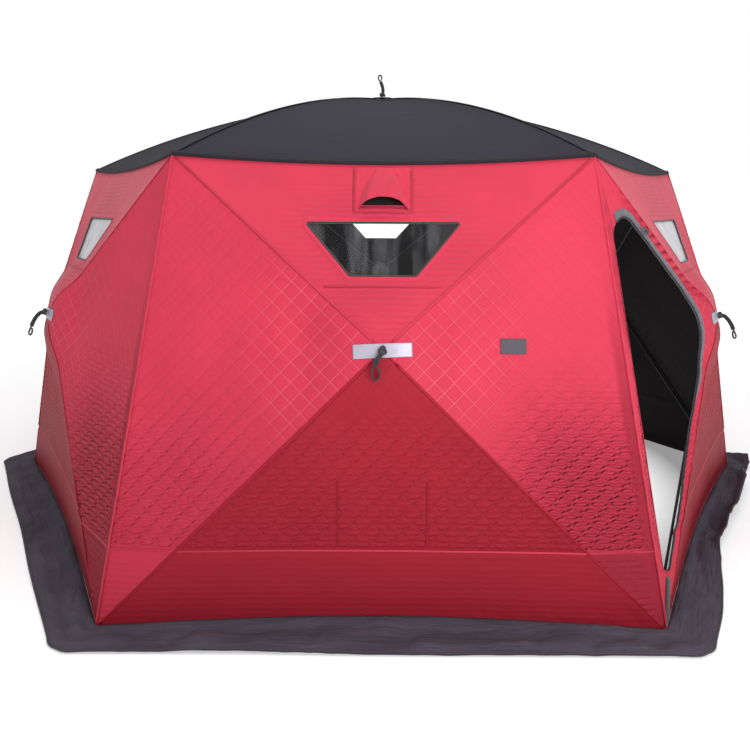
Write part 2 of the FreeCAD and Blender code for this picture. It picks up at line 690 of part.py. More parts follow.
def build_fabric():
    panels = make_facets()
    pane = window_outline("window_pane", "Sizes.pane_lap", "Sizes.pane_thick")
    doorway = door_outline("doorway", "Sizes.door_margin", "Sizes.wall_thick + 2")
    doorway_tool = linked(doorway, Placement(Vector(0, 0, 1), Rotation()))
    door_frame = cut("left_facet_with_doorway", panels["left"], doorway_tool)
    panes = []
    for k, wall in enumerate(WALLS):
        copies = []
        for facet, panel in panels.items():
            piece = door_frame if (wall, facet) == ("front_right", "left") else panel
            copies.append((piece, turned(k) * AT_WALL * facet_frame(facet)))
        node(f"{wall}_wall", copies)
        under = Placement(Vector(0, 0, -SIZE["wall_thick"]), Rotation())
        panes.append((pane, turned(k) * AT_WALL * facet_frame("top") * under))
    node("window_panes", panes)
    strips = [roof_strip(index) for index in range(SIZE["roof_strips"])]
    node("roof_canopy", [(body, turned(k) * place) for k in range(6) for body, place in strips])
    side = skirt_panel()
    node("snow_skirt", [(side, turned(k)) for k in range(6)])
    eyelet = grommet()
    at_eyelet = Placement(Vector(SIZE["grommet_side"], -SIZE["grommet_out"], 0), Rotation())
    node("skirt_grommets", [(eyelet, turned(k) * at_eyelet) for k in range(6)])
    middle = Placement(Vector(SIZE["top_foot"], 0, 0), Rotation())
    node("vent_hood", [(vent_hood(), AT_WALL * facet_frame("top") * middle)])


def build_hubs():
    angle = {level: math.degrees(math.atan2(-rod_heading(level, "right").y, -rod_heading(level, "right").x))
             for level in ("upper", "lower")}
    headings = (angle["upper"], 180 - angle["upper"], angle["lower"], 180 - angle["lower"])
    wall_hub = hub("wall_hub", "Sizes.wall_plate_radius", "Sizes.wall_pin_circle", headings)
    roof_hub = hub("roof_hub_unit", "Sizes.roof_plate_radius", "Sizes.roof_pin_circle",
                   [60 * k for k in range(6)])
    pull = strap("pull_strap")
    on_cap = Placement(Vector(0, 0, 1 + SIZE["hub_cap_thick"]), Rotation())
    for k, wall in enumerate(WALLS):
        node(f"{wall}_hub", [(wall_hub, turned(k) * hub_frame())])
        node(f"{wall}_pull_strap", [(pull, turned(k) * hub_frame() * on_cap)])
    apex = Placement(Vector(0, 0, SIZE["apex_height"]), Rotation())
    upright = Placement(Vector(0, -6, SIZE["knot_size"] / 2), Rotation(Vector(1, 0, 0), -90))
    node("roof_hub", [(roof_hub, apex)])
    node("roof_pull_strap", [(pull, apex * on_cap * upright)])


def build_rods():
    bow = SIZE["roof_arc_angle"]
    pieces = {"upper": rod_pieces("upper", "Sizes.wall_slot_play"),
              "lower": rod_pieces("lower", "Sizes.wall_slot_play"),
              "roof": rod_pieces("roof", "Sizes.roof_slot_play", bow)}
    for k, wall in enumerate(WALLS):
        for level in ("upper", "lower"):
            for side in ("left", "right"):
                frame = rod_frame(corner_pin_frame(level, side), SIZE[f"{level}_reach"], SIZE["hub_bulge"])
                place = turned(k) * AT_WALL * frame
                node(f"{wall}_rod_{level}_{side}", [(piece, place) for piece in pieces[level]])
    rise = math.sqrt(SIZE["roof_length"] ** 2 - SIZE["roof_reach"] ** 2)
    frame = rod_frame(roof_pin_frame(), SIZE["roof_reach"], rise)
    for k in range(6):
        node(f"roof_rod_{k + 1}", [(piece, turned(k) * frame) for piece in pieces["roof"]])


def build_brackets():
    next_wall = turned(1) * AT_WALL
    top_frames = [AT_WALL * corner_pin_frame("upper", "right"),
                  next_wall * corner_pin_frame("upper", "left"), roof_pin_frame()]
    bottom_frames = [AT_WALL * corner_pin_frame("lower", "right"),
                     next_wall * corner_pin_frame("lower", "left")]
    top = bracket("top_bracket", top_frames, [])
    bottom = bracket("bottom_bracket", bottom_frames, [bracket_foot])
    node("top_corner_brackets", [(top, turned(k)) for k in range(6)])
    node("bottom_corner_brackets", [(bottom, turned(k)) for k in range(6)])


def door_facet_frame():
    return turned(1) * AT_WALL * facet_frame("left")


def door_hinge_frame():
    """On the flap's straight edge, x down the corner edge, z outward as the closed flap lies."""
    margin = SIZE["door_margin"] + SIZE["door_play"]
    return door_facet_frame() * Placement(Vector(0, margin, -SIZE["wall_thick"] / 2), Rotation())


def zip_run_frame():
    """Middle of the zip tape's straight upper run, at its top end, x down the run."""
    margin = (SIZE["zip_outer_margin"] + SIZE["door_margin"]) / 2
    start = Vector(*(value_of(part) for part in facet_point("left", "a", str(margin))), 0)
    end = Vector(*(value_of(part) for part in facet_point("left", "hub", str(margin))), 0)
    along = (end - start).normalize()
    corner_angle = math.atan2(SIZE["left_depth"], SIZE["left_foot"])
    begin = SIZE["door_top_round"] / math.tan(corner_angle / 2) + 30
    return door_facet_frame() * axes_placement(start + along * begin, along, Vector(0, 0, 1))


def build_door():
    margin = "Sizes.door_margin + Sizes.door_play"
    flap = door_outline("flap", margin, "Sizes.door_thick")
    closed = door_facet_frame()
    hinge = door_hinge_frame()
    park = hinge * Placement(Vector(), Rotation(Vector(1, 0, 0), -SIZE["door_park_angle"])) * hinge.inverse()
    node("door_flap", [(flap, park * closed)])
    outer = door_outline("tape_outer", "Sizes.zip_outer_margin", "Sizes.zip_thick")
    inner = door_outline("tape_inner", "Sizes.door_margin - 2", "Sizes.zip_thick")
    trim = box("tape_trim", ("0 - 50", "0 - 50", "0 - 10"), ("Sizes.left_edge + 50", "Sizes.zip_trim", "10"))
    tape = cut("tape", cut("tape_ring", outer, inner), trim)
    lift = Placement(Vector(0, 0, SIZE["zip_thick"] + 0.2), Rotation())
    node("zipper_tape", [(tape, closed * lift)])
    above = Placement(Vector(0, 0, SIZE["zip_thick"] + 0.6), Rotation())
    node("zipper_slider", [(zip_slider(), zip_run_frame() * above)])


def check_and_export():
    doc.recompute()
    for obj in doc.Objects:
        if any(word in obj.State for word in ("Invalid", "Error")):
            raise RuntimeError(f"{obj.Name} did not build: {obj.State}")
    os.makedirs("parts", exist_ok=True)
    for group in NODES:
        shape = group.Shape
        if shape.isNull() or not shape.isValid() or not shape.Solids:
            raise RuntimeError(f"{group.Label} has no valid shape")
        shape.exportStep(f"parts/{group.Label}.step")
    print(len(NODES), "nodes written")


build_fabric()
build_hubs()
build_rods()
build_brackets()
build_door()
check_and_export()
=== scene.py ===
"""Six-sided ice fishing shelter: cloth, seams, windows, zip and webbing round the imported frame. Metres."""
import json
import math

import bmesh
import bpy
import numpy as np
from mathutils import Matrix, Vector


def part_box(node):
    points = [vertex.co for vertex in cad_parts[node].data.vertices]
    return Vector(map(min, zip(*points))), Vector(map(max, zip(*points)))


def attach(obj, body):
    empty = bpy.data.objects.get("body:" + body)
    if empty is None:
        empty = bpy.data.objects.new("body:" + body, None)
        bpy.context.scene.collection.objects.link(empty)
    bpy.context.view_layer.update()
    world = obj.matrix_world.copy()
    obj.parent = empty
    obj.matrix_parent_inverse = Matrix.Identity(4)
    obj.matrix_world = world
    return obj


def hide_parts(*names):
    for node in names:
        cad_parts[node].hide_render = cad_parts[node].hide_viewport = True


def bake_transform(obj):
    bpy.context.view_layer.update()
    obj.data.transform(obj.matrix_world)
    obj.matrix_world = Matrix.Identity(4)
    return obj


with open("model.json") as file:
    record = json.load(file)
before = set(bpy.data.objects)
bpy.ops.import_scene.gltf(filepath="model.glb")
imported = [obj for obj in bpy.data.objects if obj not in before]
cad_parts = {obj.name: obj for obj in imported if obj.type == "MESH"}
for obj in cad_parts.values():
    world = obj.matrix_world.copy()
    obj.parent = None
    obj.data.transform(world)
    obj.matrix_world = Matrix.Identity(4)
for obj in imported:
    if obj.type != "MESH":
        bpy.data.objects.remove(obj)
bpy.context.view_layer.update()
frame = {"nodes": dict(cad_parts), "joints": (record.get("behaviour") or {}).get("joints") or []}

# ---------------------------------------------------------------- sizes, most of them read from the frame

JOINTS = {joint["name"]: joint for joint in frame["joints"]}
WALLS = ("front", "front_right", "back_right", "back", "back_left", "front_left")
EDGES = ("bottom", "right", "top", "left")
ROOT3 = math.sqrt(3)
SEAM_INSET = 0.0015                                  # the frame's panels stop this short of a seam
HUB_RISE = 0.990                                     # a wall's hub, up the slope of the wall
HUB_CAP = 0.007                                      # a hub's cap stands this far over the cloth's plane
ROOF_BOW = 0.071                                     # arch of a ridge over the straight line
BULGE = JOINTS["front_hub_pop"]["range_m"][1] / 2
TOP_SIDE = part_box("roof_canopy")[1].x + SEAM_INSET
EAVE_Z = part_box("roof_canopy")[0].z + 0.001
APEX_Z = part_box("roof_hub")[1].z - HUB_CAP
BASE_SIDE = 2.050
BASE_HALF, TOP_HALF = BASE_SIDE / 2, TOP_SIDE / 2
BASE_APOTHEM, TOP_APOTHEM = BASE_HALF * ROOT3, TOP_HALF * ROOT3
SLOPE = math.hypot(BASE_APOTHEM - TOP_APOTHEM, EAVE_Z)
LEAN = math.asin((BASE_APOTHEM - TOP_APOTHEM) / SLOPE)

WALL_CLOTH = 0.003
ROOF_CLOTH = 0.002
HEM_BOW = 0.030                                      # the hem draws in between its corners
HEM_RISE = 0.010
EAVE_SAG = 0.028                                     # the eaves dip between the corners
QUILT_CELL = 0.050                                   # spacing of the quilting's crossed rows
BAND_TOP = 0.285                                     # the plain band below the quilting
PANEL_SAG = {"bottom": 0.016, "right": 0.012, "top": 0.010, "left": 0.012}
FINE_WALLS = ("front", "front_right", "front_left")
PUCKERED = (("front", "right"), ("front_left", "right"), ("back", "left"))      # panels with strong folds
CLEAR_OF_SEAM = 0.10                                 # stands for "no seam near" in the cloth's attribute
UP = np.array((0, 0, 1.0))
APEX = APEX_Z * UP
HUB_ON_WALL = np.array((0, HUB_RISE))                # (u, v) of a hub on its wall

# ---------------------------------------------------------------- small helpers


def srgb(red, green, blue):
    """A display colour, 0 to 255, as the linear colour that shaders take."""
    shares = (channel / 255 for channel in (red, green, blue))
    return tuple(c / 12.92 if c <= 10 / 255 else ((c + 0.055) / 1.055) ** 2.4 for c in shares)


def shade(colour, shares):
    """A colour times a number, or times one number for each channel."""
    return tuple(float(c) for c in np.array(colour) * shares)


def smooth(low, high, x):
    """0 below low, 1 above high, and a smooth step between."""
    t = np.clip((x - low) / (high - low), 0, 1)
    return t * t * (3 - 2 * t)


def noise(x, y, seed):
    """Smooth value noise from -1 to 1 with a period of one unit between its seeded values."""
    table = np.random.default_rng(seed).uniform(-1, 1, (64, 64))
    column, row = np.floor(x).astype(int), np.floor(y).astype(int)
    fx, fy = x - column, y - row
    fx, fy = fx * fx * (3 - 2 * fx), fy * fy * (3 - 2 * fy)
    near = table[row % 64, column % 64] * (1 - fx) + table[row % 64, (column + 1) % 64] * fx
    far = table[(row + 1) % 64, column % 64] * (1 - fx) + table[(row + 1) % 64, (column + 1) % 64] * fx
    return near * (1 - fy) + far * fy


def arch(s):
    """0 at s 0 and 1, and 1 half way."""
    return 4 * s * (1 - s)


def bell(x, width):
    """1 at x 0, fading to either side."""
    return np.exp(-((x / width) ** 2))


def unit(vectors):
    """A vector, or each row of vectors, scaled to length one."""
    return vectors / np.linalg.norm(vectors, axis=-1, keepdims=True)


def run_length(line):
    """How far along a line of points each point is."""
    return np.concatenate(([0], np.cumsum(np.linalg.norm(np.diff(line, axis=0), axis=1))))


def plain_places(x, y):
    """The cloth attribute of a piece without seams of its own: a place, far from any seam."""
    return np.column_stack((x, y, np.full(len(x), CLEAR_OF_SEAM)))


def make_piece(name, points, faces, materials, data=None, smooth_shade=True, thickness=0.0, offset=-1.0):
    """A mesh object from points and faces, with vector attributes, made into a thin sheet if asked."""
    mesh = bpy.data.meshes.new(name)
    mesh.from_pydata([tuple(p) for p in np.asarray(points, float)], [], faces)
    mesh.validate()
    for key, values in (data or {}).items():
        attribute = mesh.attributes.new(key, "FLOAT_VECTOR", "POINT")
        attribute.data.foreach_set("vector", np.asarray(values, np.float32).ravel())
    for material in materials:
        mesh.materials.append(material)
    mesh.polygons.foreach_set("use_smooth", [smooth_shade] * len(mesh.polygons))
    piece = bpy.data.objects.new(name, mesh)
    bpy.context.scene.collection.objects.link(piece)
    if thickness:
        sheet = piece.modifiers.new("Cloth thickness", "SOLIDIFY")
        sheet.thickness = thickness
        sheet.offset = offset
        if len(materials) > 1:
            sheet.material_offset = 1
    return piece


def grid_faces(rows, columns, closed=False, flip=False):
    """Quads over points laid out row by row. closed joins the last column to the first."""
    faces = []
    for i in range(rows - 1):
        for j in range(columns if closed else columns - 1):
            k = (j + 1) % columns
            faces.append((i * columns + j, i * columns + k, (i + 1) * columns + k, (i + 1) * columns + j))
    return [face[::-1] for face in faces] if flip else faces


def make_rows(name, rows, places, material, thickness=0.0012, closed=False, flip=False, offset=-1.0):
    """A tape, binding or sewn strip: rows of points, with what its material reads at each of them."""
    faces = grid_faces(len(rows), len(rows[0]), closed, flip)
    return make_piece(name, np.vstack(rows), faces, (material,), {"cloth": np.vstack(places)},
                      thickness=thickness, offset=offset)


# ---------------------------------------------------------------- the walls' own frames


class Wall:
    """One wall's plane: u across it, v up its slope and n out of it."""

    def __init__(self, index):
        azimuth = math.radians(60 * index - 90)
        radial = np.array((math.cos(azimuth), math.sin(azimuth), 0.0))
        self.name = WALLS[index]
        self.index = index
        self.across = np.array((-math.sin(azimuth), math.cos(azimuth), 0.0))
        self.up = -math.sin(LEAN) * radial + math.cos(LEAN) * UP
        self.out = math.cos(LEAN) * radial + math.sin(LEAN) * UP
        self.origin = radial * BASE_APOTHEM

    def point(self, u, v, n):
        u, v, n = (np.atleast_1d(np.asarray(x, float))[:, None] for x in (u, v, n))
        return self.origin + u * self.across + v * self.up + n * self.out

    def hub(self):
        return self.point(0, HUB_RISE, BULGE)[0]


CORNERS = {
    "bottom": np.array(((-BASE_HALF, 0), (BASE_HALF, 0))),
    "right": np.array(((BASE_HALF, 0), (TOP_HALF, SLOPE))),
    "top": np.array(((TOP_HALF, SLOPE), (-TOP_HALF, SLOPE))),
    "left": np.array(((-TOP_HALF, SLOPE), (-BASE_HALF, 0))),
}


def panel_place(edge, u, v):
    """(share along the outer edge, share of the way to the hub) of a place on a panel."""
    a, b = CORNERS[edge]
    run = b - a
    length = np.linalg.norm(run)
    normal = np.array((-run[1], run[0])) / length
    hub_distance = (HUB_ON_WALL - a) @ normal
    t = ((u - a[0]) * normal[0] + (v - a[1]) * normal[1]) / hub_distance
    rest = np.maximum(1 - t, 1e-6)
    edge_u, edge_v = u / rest, (v - t * HUB_RISE) / rest
    s = ((edge_u - a[0]) * run[0] + (edge_v - a[1]) * run[1]) / length**2
    return np.clip(s, 0, 1), np.clip(t, 0, 1)


def pull(wall, edge, t, v):
    """How strongly the quilting is pulled into folds, up to 1 at the foot of the puckered panels."""
    share = 1.0 if (wall.name, edge) in PUCKERED else 0.45
    return share * smooth(1.02, 0.50, v) * smooth(0.78, 0.30, t)


def quilt_height(u, v):
    """A pillow in each diamond of the quilting, 0 on its stitches and 1 at its middle."""
    a = (u + v) / math.sqrt(2) / QUILT_CELL
    b = (u - v) / math.sqrt(2) / QUILT_CELL
    return np.sqrt(np.abs(np.sin(math.pi * a) * np.sin(math.pi * b)))


def zip_puckers(u, v):
    """Puckers where the zip gathers the cloth beside the doorway's upper run, from -1 to 1."""
    gather = smooth(1.00, 1.12, v) * smooth(1.66, 1.52, v)
    return gather * np.sin(2 * math.pi * v / 0.036 + 2.5 * noise(v / 0.10, u / 0.5, 7))


def panel_surface(wall, edge, u, v, fuss=1.0):
    """(u, v, n) of a panel's outer face, sagged, quilted and puckered. fuss scales the small folds."""
    s, t = panel_place(edge, u, v)
    seed = 11 * wall.index + EDGES.index(edge)
    a, b = CORNERS[edge]
    length = np.linalg.norm(b - a)
    along = s * length * (1 - t)
    edge_fade = 1 - (1 - t) ** 8
    ridge = np.minimum(s, 1 - s) * length * (1 - t)      # distance from the nearer ridge, roughly
    n = BULGE * t
    n = n - PANEL_SAG[edge] * arch(s) * arch(t)
    loose = edge_fade * smooth(0, 0.08, ridge)
    n = n + loose * (0.0045 * noise(u / 0.31, v / 0.31, seed)
                     + 0.0022 * noise(u / 0.12, v / 0.12, seed + 5))
    if edge != "top":
        quilting = smooth(BAND_TOP - 0.005, BAND_TOP + 0.03, v)
        deep = 0.0014 + 0.0030 * (pull(wall, edge, t, v) if edge != "bottom" else 0.0)
        n = n + deep * quilt_height(u, v) * quilting * edge_fade
        n = n - 0.004 * bell(v - BAND_TOP, 0.010) * edge_fade
        band = smooth(0, 0.03, v) * (1 - smooth(BAND_TOP - 0.03, BAND_TOP, v))
        n = n + 0.0016 * band * noise(u / 0.34, v / 0.035, 9) * smooth(0, 0.05, ridge) * edge_fade
    if edge == "bottom":
        bow = arch(s) * (1 - t) ** 4
        n = n - HEM_BOW * bow
        v = v + HEM_RISE * bow
    if edge == "top":
        v = v - EAVE_SAG * arch(s) * (1 - t) ** 5
        n = n * smooth(0.0, 0.05, t)
    if edge in ("right", "left"):
        strength = 0.006 if edge == "right" and (wall.name, edge) in PUCKERED else 0.003
        drop = smooth(1.25, 0.25, v)
        folds = noise(v / 0.085 + 0.35 * u / 0.085, u / 0.30, seed + 21)
        n = n + fuss * strength * folds * drop * bell(t, 0.42) * edge_fade
    if (wall.name, edge) == ("front_right", "left"):
        between = smooth(0.0, 0.012, ridge) * smooth(0.060, 0.036, ridge)
        n = n + fuss * 0.0065 * between * zip_puckers(u, v)
    pucker = np.exp(-ridge / 0.045) * smooth(0, 0.012, ridge)
    n = n + fuss * 0.0018 * pucker * noise(along / 0.022, ridge / 0.2, seed + 33) * edge_fade
    edge_distance = t * 0.8
    flat_strip = 0.05 if edge == "top" else 0.012
    seam_pucker = np.exp(-edge_distance / 0.05) * smooth(0, flat_strip, edge_distance)
    n = n + fuss * 0.0028 * seam_pucker * noise(s * length / 0.030, edge_distance / 0.2, seed + 41)
    from_hub = np.hypot(u, v - HUB_RISE)
    over_cap = BULGE + HUB_CAP + 0.0042 - 0.0015 * np.minimum(1.4, from_hub / 0.055) ** 2
    on_cap = 1 - smooth(0.040, 0.300, from_hub)
    n = n * (1 - on_cap) + np.maximum(n, over_cap) * on_cap
    return u, v, n


def panel_of(u, v):
    """The panel that a place on a wall is in."""
    best, name = 2.0, ""
    for edge in EDGES:
        a, b = CORNERS[edge]
        normal = np.array((-(b - a)[1], (b - a)[0]))
        share = ((np.array((u, v)) - a) @ normal) / ((HUB_ON_WALL - a) @ normal)
        if share < best:
            best, name = share, edge
    return name


def on_wall(wall, u, v, proud):
    """World points that lie proud of the wall's cloth at (u, v), smooth over its small folds."""
    u, v = np.atleast_1d(np.asarray(u, float)), np.atleast_1d(np.asarray(v, float))
    u, v = np.broadcast_arrays(u, v)
    out_u, out_v, out_n = u.copy(), v.copy(), np.zeros(len(u))
    names = np.array([panel_of(a, b) for a, b in zip(u, v)])
    for edge in EDGES:
        chosen = names == edge
        if chosen.any():
            on_panel = panel_surface(wall, edge, u[chosen], v[chosen], fuss=0.0)
            out_u[chosen], out_v[chosen], out_n[chosen] = on_panel
    return wall.point(out_u, out_v, out_n + proud)


def blend_towards(piece, foot, hub):
    """Bakes the piece's placement into its points. foot and hub are not used."""
    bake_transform(piece)


def blend_wall(piece, wall, edge):
    """Works out the panel's foot and the wall's hub, then bakes the piece's placement into its points."""
    a, b = (wall.point(u, v, 0)[0] for u, v in CORNERS[edge])
    along = unit(b - a)
    foot = a + ((wall.hub() - a) @ along) * along
    blend_towards(piece, foot, wall.hub())


walls = [Wall(index) for index in range(6)]

# ---------------------------------------------------------------- materials


class Shader:
    """A short way to build a Principled material from nodes."""

    def __init__(self, name, colour, roughness=0.6, **settings):
        self.material = bpy.data.materials.new(name)
        self.material.use_nodes = True
        self.nodes = self.material.node_tree.nodes
        self.links = self.material.node_tree.links
        self.surface = self.nodes["Principled BSDF"]
        self.surface.inputs["Base Color"].default_value = (*colour, 1)
        self.surface.inputs["Roughness"].default_value = roughness
        for socket, value in settings.items():
            self.surface.inputs[socket.replace("_", " ")].default_value = value

    def add(self, kind, inputs=None, **settings):
        node = self.nodes.new(kind)
        for key, value in settings.items():
            setattr(node, key, value)
        for key, value in (inputs or {}).items():
            if hasattr(value, "is_output"):
                self.links.new(value, node.inputs[key])
            else:
                node.inputs[key].default_value = value
        return node

    def maths(self, operation, *values):
        return self.add("ShaderNodeMath", dict(enumerate(values)), operation=operation).outputs[0]

    def times(self, first, second):
        return self.maths("MULTIPLY", first, second)

    def plus(self, first, second):
        return self.maths("ADD", first, second)

    def minus(self, first, second):
        return self.maths("SUBTRACT", first, second)

    def split(self, vector):
        return self.add("ShaderNodeSeparateXYZ", {0: vector}).outputs

    def place(self, attribute=None):
        """Where on the piece: a stored attribute, or the object's own coordinates."""
        if attribute:
            return self.add("ShaderNodeAttribute", attribute_name=attribute).outputs["Vector"]
        return self.add("ShaderNodeTexCoord").outputs["Object"]

    def grain(self, where, scale, detail=3.0, stretch=None):
        if stretch:
            where = self.add("ShaderNodeMapping", {"Vector": where, "Scale": stretch}).outputs[0]
        texture = self.add("ShaderNodeTexNoise", {"Vector": where, "Scale": scale, "Detail": detail})
        return texture.outputs[0]

    def ramp(self, factor, low, high, positions=(0.0, 1.0)):
        node = self.add("ShaderNodeValToRGB", {"Fac": factor})
        for element, colour, position in zip(node.color_ramp.elements, (low, high), positions):
            element.color = (*colour, 1)
            element.position = position
        return node.outputs[0]

    def mix(self, factor, first, second, blend="MIX"):
        node = self.add("ShaderNodeMix", data_type="RGBA", blend_type=blend)
        for socket, value in ((node.inputs[0], factor), (node.inputs[6], first), (node.inputs[7], second)):
            if hasattr(value, "is_output"):
                self.links.new(value, socket)
            else:
                socket.default_value = value if isinstance(value, float) else (*value, 1)
        return node.outputs[2]

    def band(self, value, low, high):
        """0 below low, 1 above high, and a smooth step between."""
        node = self.add("ShaderNodeMapRange", {0: value, 1: low, 2: high}, interpolation_type="SMOOTHSTEP")
        return node.outputs[0]

    def spread(self, value, low, high, start=0.0, end=1.0):
        """The value's range from start to end, spread evenly over low to high."""
        return self.add("ShaderNodeMapRange", {0: value, 1: start, 2: end, 3: low, 4: high}).outputs[0]

    def bump(self, height, distance, strength=1.0, after=None):
        inputs = {"Height": height, "Distance": distance, "Strength": strength}
        if after:
            inputs["Normal"] = after
        return self.add("ShaderNodeBump", inputs).outputs[0]

    def set(self, **sockets):
        for socket, output in sockets.items():
            self.links.new(output, self.surface.inputs[socket.replace("_", " ")])
        return self.material


def weave(shader, where, pitch):
    """Height of a plain weave with that pitch, from two crossed waves."""
    x, y, _ = shader.split(where)
    warp = shader.maths("SINE", shader.times(x, 2 * math.pi / pitch))
    weft = shader.maths("SINE", shader.times(y, 2 * math.pi / pitch))
    return shader.times(warp, weft)


def quilted_satin(name, base, quilted, pale):
    """Coated red satin, with painted shade: darker lower down, beside seams, in the troughs of its folds and
    where the cloth's dark value asks. quilted adds diamonds of wadding under rows of pale stitches, with
    painted shade in the grooves between them.
    """
    sheen = 0.0 if quilted else 0.17
    shader = Shader(name, base, 0.56, Sheen_Weight=sheen, Sheen_Roughness=0.4, Specular_IOR_Level=0.12)
    where = shader.place("cloth")
    across, height, to_seam = shader.split(where)
    folds, stitching, dark = shader.split(shader.place("folds"))
    cloud = shader.grain(where, 2.3, 3.0)
    colour = shader.ramp(cloud, shade(base, 0.90), shade(base, 1.07), (0.3, 0.7))
    # painted shade: the satin darkens towards the foot of the wall
    low = shader.band(height, 1.05, 0.0)
    colour = shader.mix(shader.times(low, 0.55), colour, shade(base, (0.55, 0.42, 0.36)))
    # deep: the colour of painted shade in the quilting's grooves and the folds' troughs
    deep = shade(base, (0.50, 0.40, 0.42))
    # painted shade where the cloth's dark value asks for it
    colour = shader.mix(shader.times(dark, 0.60), colour, shade(base, (0.36, 0.25, 0.28)))
    streak = shader.grain(where, 9.0, 4.0, (1.0, 5.0, 1.0))
    colour = shader.mix(shader.times(streak, 0.12), colour, shade(base, 0.72))
    normal = shader.bump(weave(shader, where, 0.0016), 0.00006, 0.5)
    normal = shader.bump(shader.grain(where, 26.0, 5.0), 0.0026, 0.5, normal)
    sway = shader.times(shader.grain(where, 14.0, 2.0), 5.0)
    ruck = shader.plus(shader.times(height, 2 * math.pi / 0.022), sway)
    ruck = shader.times(shader.maths("SINE", ruck), folds)
    if quilted:
        rising = shader.times(shader.plus(across, height), 0.70711 / QUILT_CELL)
        falling = shader.times(shader.minus(across, height), 0.70711 / QUILT_CELL)
        to_rising = shader.maths("PINGPONG", rising, 0.5)
        to_falling = shader.maths("PINGPONG", falling, 0.5)
        nearest = shader.maths("MINIMUM", to_rising, to_falling)
        above = shader.band(height, BAND_TOP + 0.003, BAND_TOP + 0.02)
        pillow = shader.times(shader.band(nearest, 0.0, 0.16), above)
        pillow = shader.plus(pillow, shader.minus(1.0, above))
        ruck = shader.times(ruck, pillow)
        normal = shader.bump(pillow, 0.0014, 0.8, normal)
        pulled_line = shader.times(shader.band(to_falling, 0.0, 0.22), folds)
        normal = shader.bump(pulled_line, 0.0050, 1.0, normal)
        on_line = shader.minus(1.0, shader.band(nearest, 0.006, 0.026))
        dash = shader.maths("PINGPONG", shader.times(across, 190.0), 0.5)
        stitches = shader.times(on_line, shader.band(dash, 0.05, 0.14))
        stitches = shader.times(shader.times(stitches, stitching), above)
        colour = shader.mix(shader.times(stitches, 0.75), colour, pale)
        # painted shade in the grooves of the quilting
        groove = shader.minus(1.0, shader.band(nearest, 0.01, 0.10))
        groove = shader.times(shader.times(groove, above), folds)
        colour = shader.mix(shader.times(groove, 0.95), colour, deep)
    # painted shade in the troughs of the folds
    trough = shader.maths("MAXIMUM", shader.times(ruck, -0.32), 0.0)
    colour = shader.mix(trough, colour, deep)
    normal = shader.bump(ruck, 0.0060, 1.0, normal)
    fine = shader.grain(where, 420.0, 1.0)
    colour = shader.mix(shader.times(fine, 0.08), colour, shade(base, 0.6))
    # painted shade darkens the satin close to each seam
    off_seam = shader.times(shader.band(to_seam, 0.0, 0.014), 0.30)
    colour = shader.mix(shader.minus(0.30, off_seam), colour, shade(base, 0.45))
    return shader.set(Base_Color=colour, Normal=normal, Roughness=shader.spread(cloud, 0.50, 0.63))


def plain_cloth(name, base, pitch, mottle, roughness=0.75, crinkle=0.004, crinkle_scale=22.0):
    """A woven cloth with soft mottling, small crinkles and a visible thread."""
    shader = Shader(name, base, roughness, Sheen_Weight=0.04, Sheen_Roughness=0.5, Specular_IOR_Level=0.18)
    where = shader.place("cloth")
    cloud = shader.grain(where, 3.5, 5.0)
    colour = shader.ramp(cloud, shade(base, 1 - mottle), shade(base, 1 + mottle), (0.3, 0.7))
    dust = shader.grain(where, 160.0, 2.0)
    colour = shader.mix(shader.times(dust, 0.25), colour, shade(base, 0.6))
    normal = shader.bump(weave(shader, where, pitch), pitch * 0.12, 0.6)
    normal = shader.bump(shader.grain(where, crinkle_scale, 5.0), crinkle, 0.7, normal)
    rough = shader.spread(cloud, roughness - 0.1, roughness + 0.1)
    return shader.set(Base_Color=colour, Normal=normal, Roughness=rough)


def moulded(name, base, roughness, metallic=0.0, wear=0.3, scale=60.0):
    """Plastic or metal with a fine texture, uneven gloss and rubbed patches."""
    shader = Shader(name, base, roughness, Metallic=metallic)
    where = shader.place()
    patches = shader.grain(where, scale, 4.0)
    rubbed = tuple(min(1, (1 + wear) * c + 0.01) for c in base)
    colour = shader.ramp(patches, shade(base, 1 - wear), rubbed, (0.35, 0.65))
    normal = shader.bump(shader.grain(where, scale * 12, 2.0), 0.0003, 0.5)
    rough = shader.spread(patches, roughness - 0.1, roughness + 0.12)
    return shader.set(Base_Color=colour, Normal=normal, Roughness=rough)


def webbing_material(name, base):
    """Ribbed nylon webbing: cross ribs with a broken twill over them."""
    shader = Shader(name, base, 0.7, Sheen_Weight=0.3)
    where = shader.place("cloth")
    across, along, _ = shader.split(where)
    rib = shader.maths("SINE", shader.times(along, 2 * math.pi / 0.0022))
    lane = shader.maths("SINE", shader.times(across, 2 * math.pi / 0.0042))
    cloth = shader.plus(rib, shader.times(lane, 0.6))
    colour = shader.ramp(shader.grain(where, 90.0), shade(base, 0.7), shade(base, 1.6), (0.3, 0.7))
    return shader.set(Base_Color=colour, Normal=shader.bump(cloth, 0.0005, 0.8))


def reflective_material(name):
    """Silver-white reflective tape with its fine honeycomb and a few dull creases."""
    base = srgb(190, 186, 202)
    shader = Shader(name, base, 0.38, Metallic=0.15, Specular_IOR_Level=0.6)
    where = shader.place("cloth")
    cells = shader.add("ShaderNodeTexVoronoi", {"Vector": where, "Scale": 190.0, "Randomness": 0.0},
                       feature="DISTANCE_TO_EDGE")
    lines = shader.band(cells.outputs[0], 0.0, 0.12)
    colour = shader.mix(lines, srgb(150, 146, 162), base)
    creases = shader.times(shader.grain(where, 18.0, 4.0), 0.4)
    colour = shader.mix(creases, colour, srgb(150, 146, 164))
    return shader.set(Base_Color=colour, Normal=shader.bump(shader.grain(where, 30.0, 3.0), 0.002, 0.5))


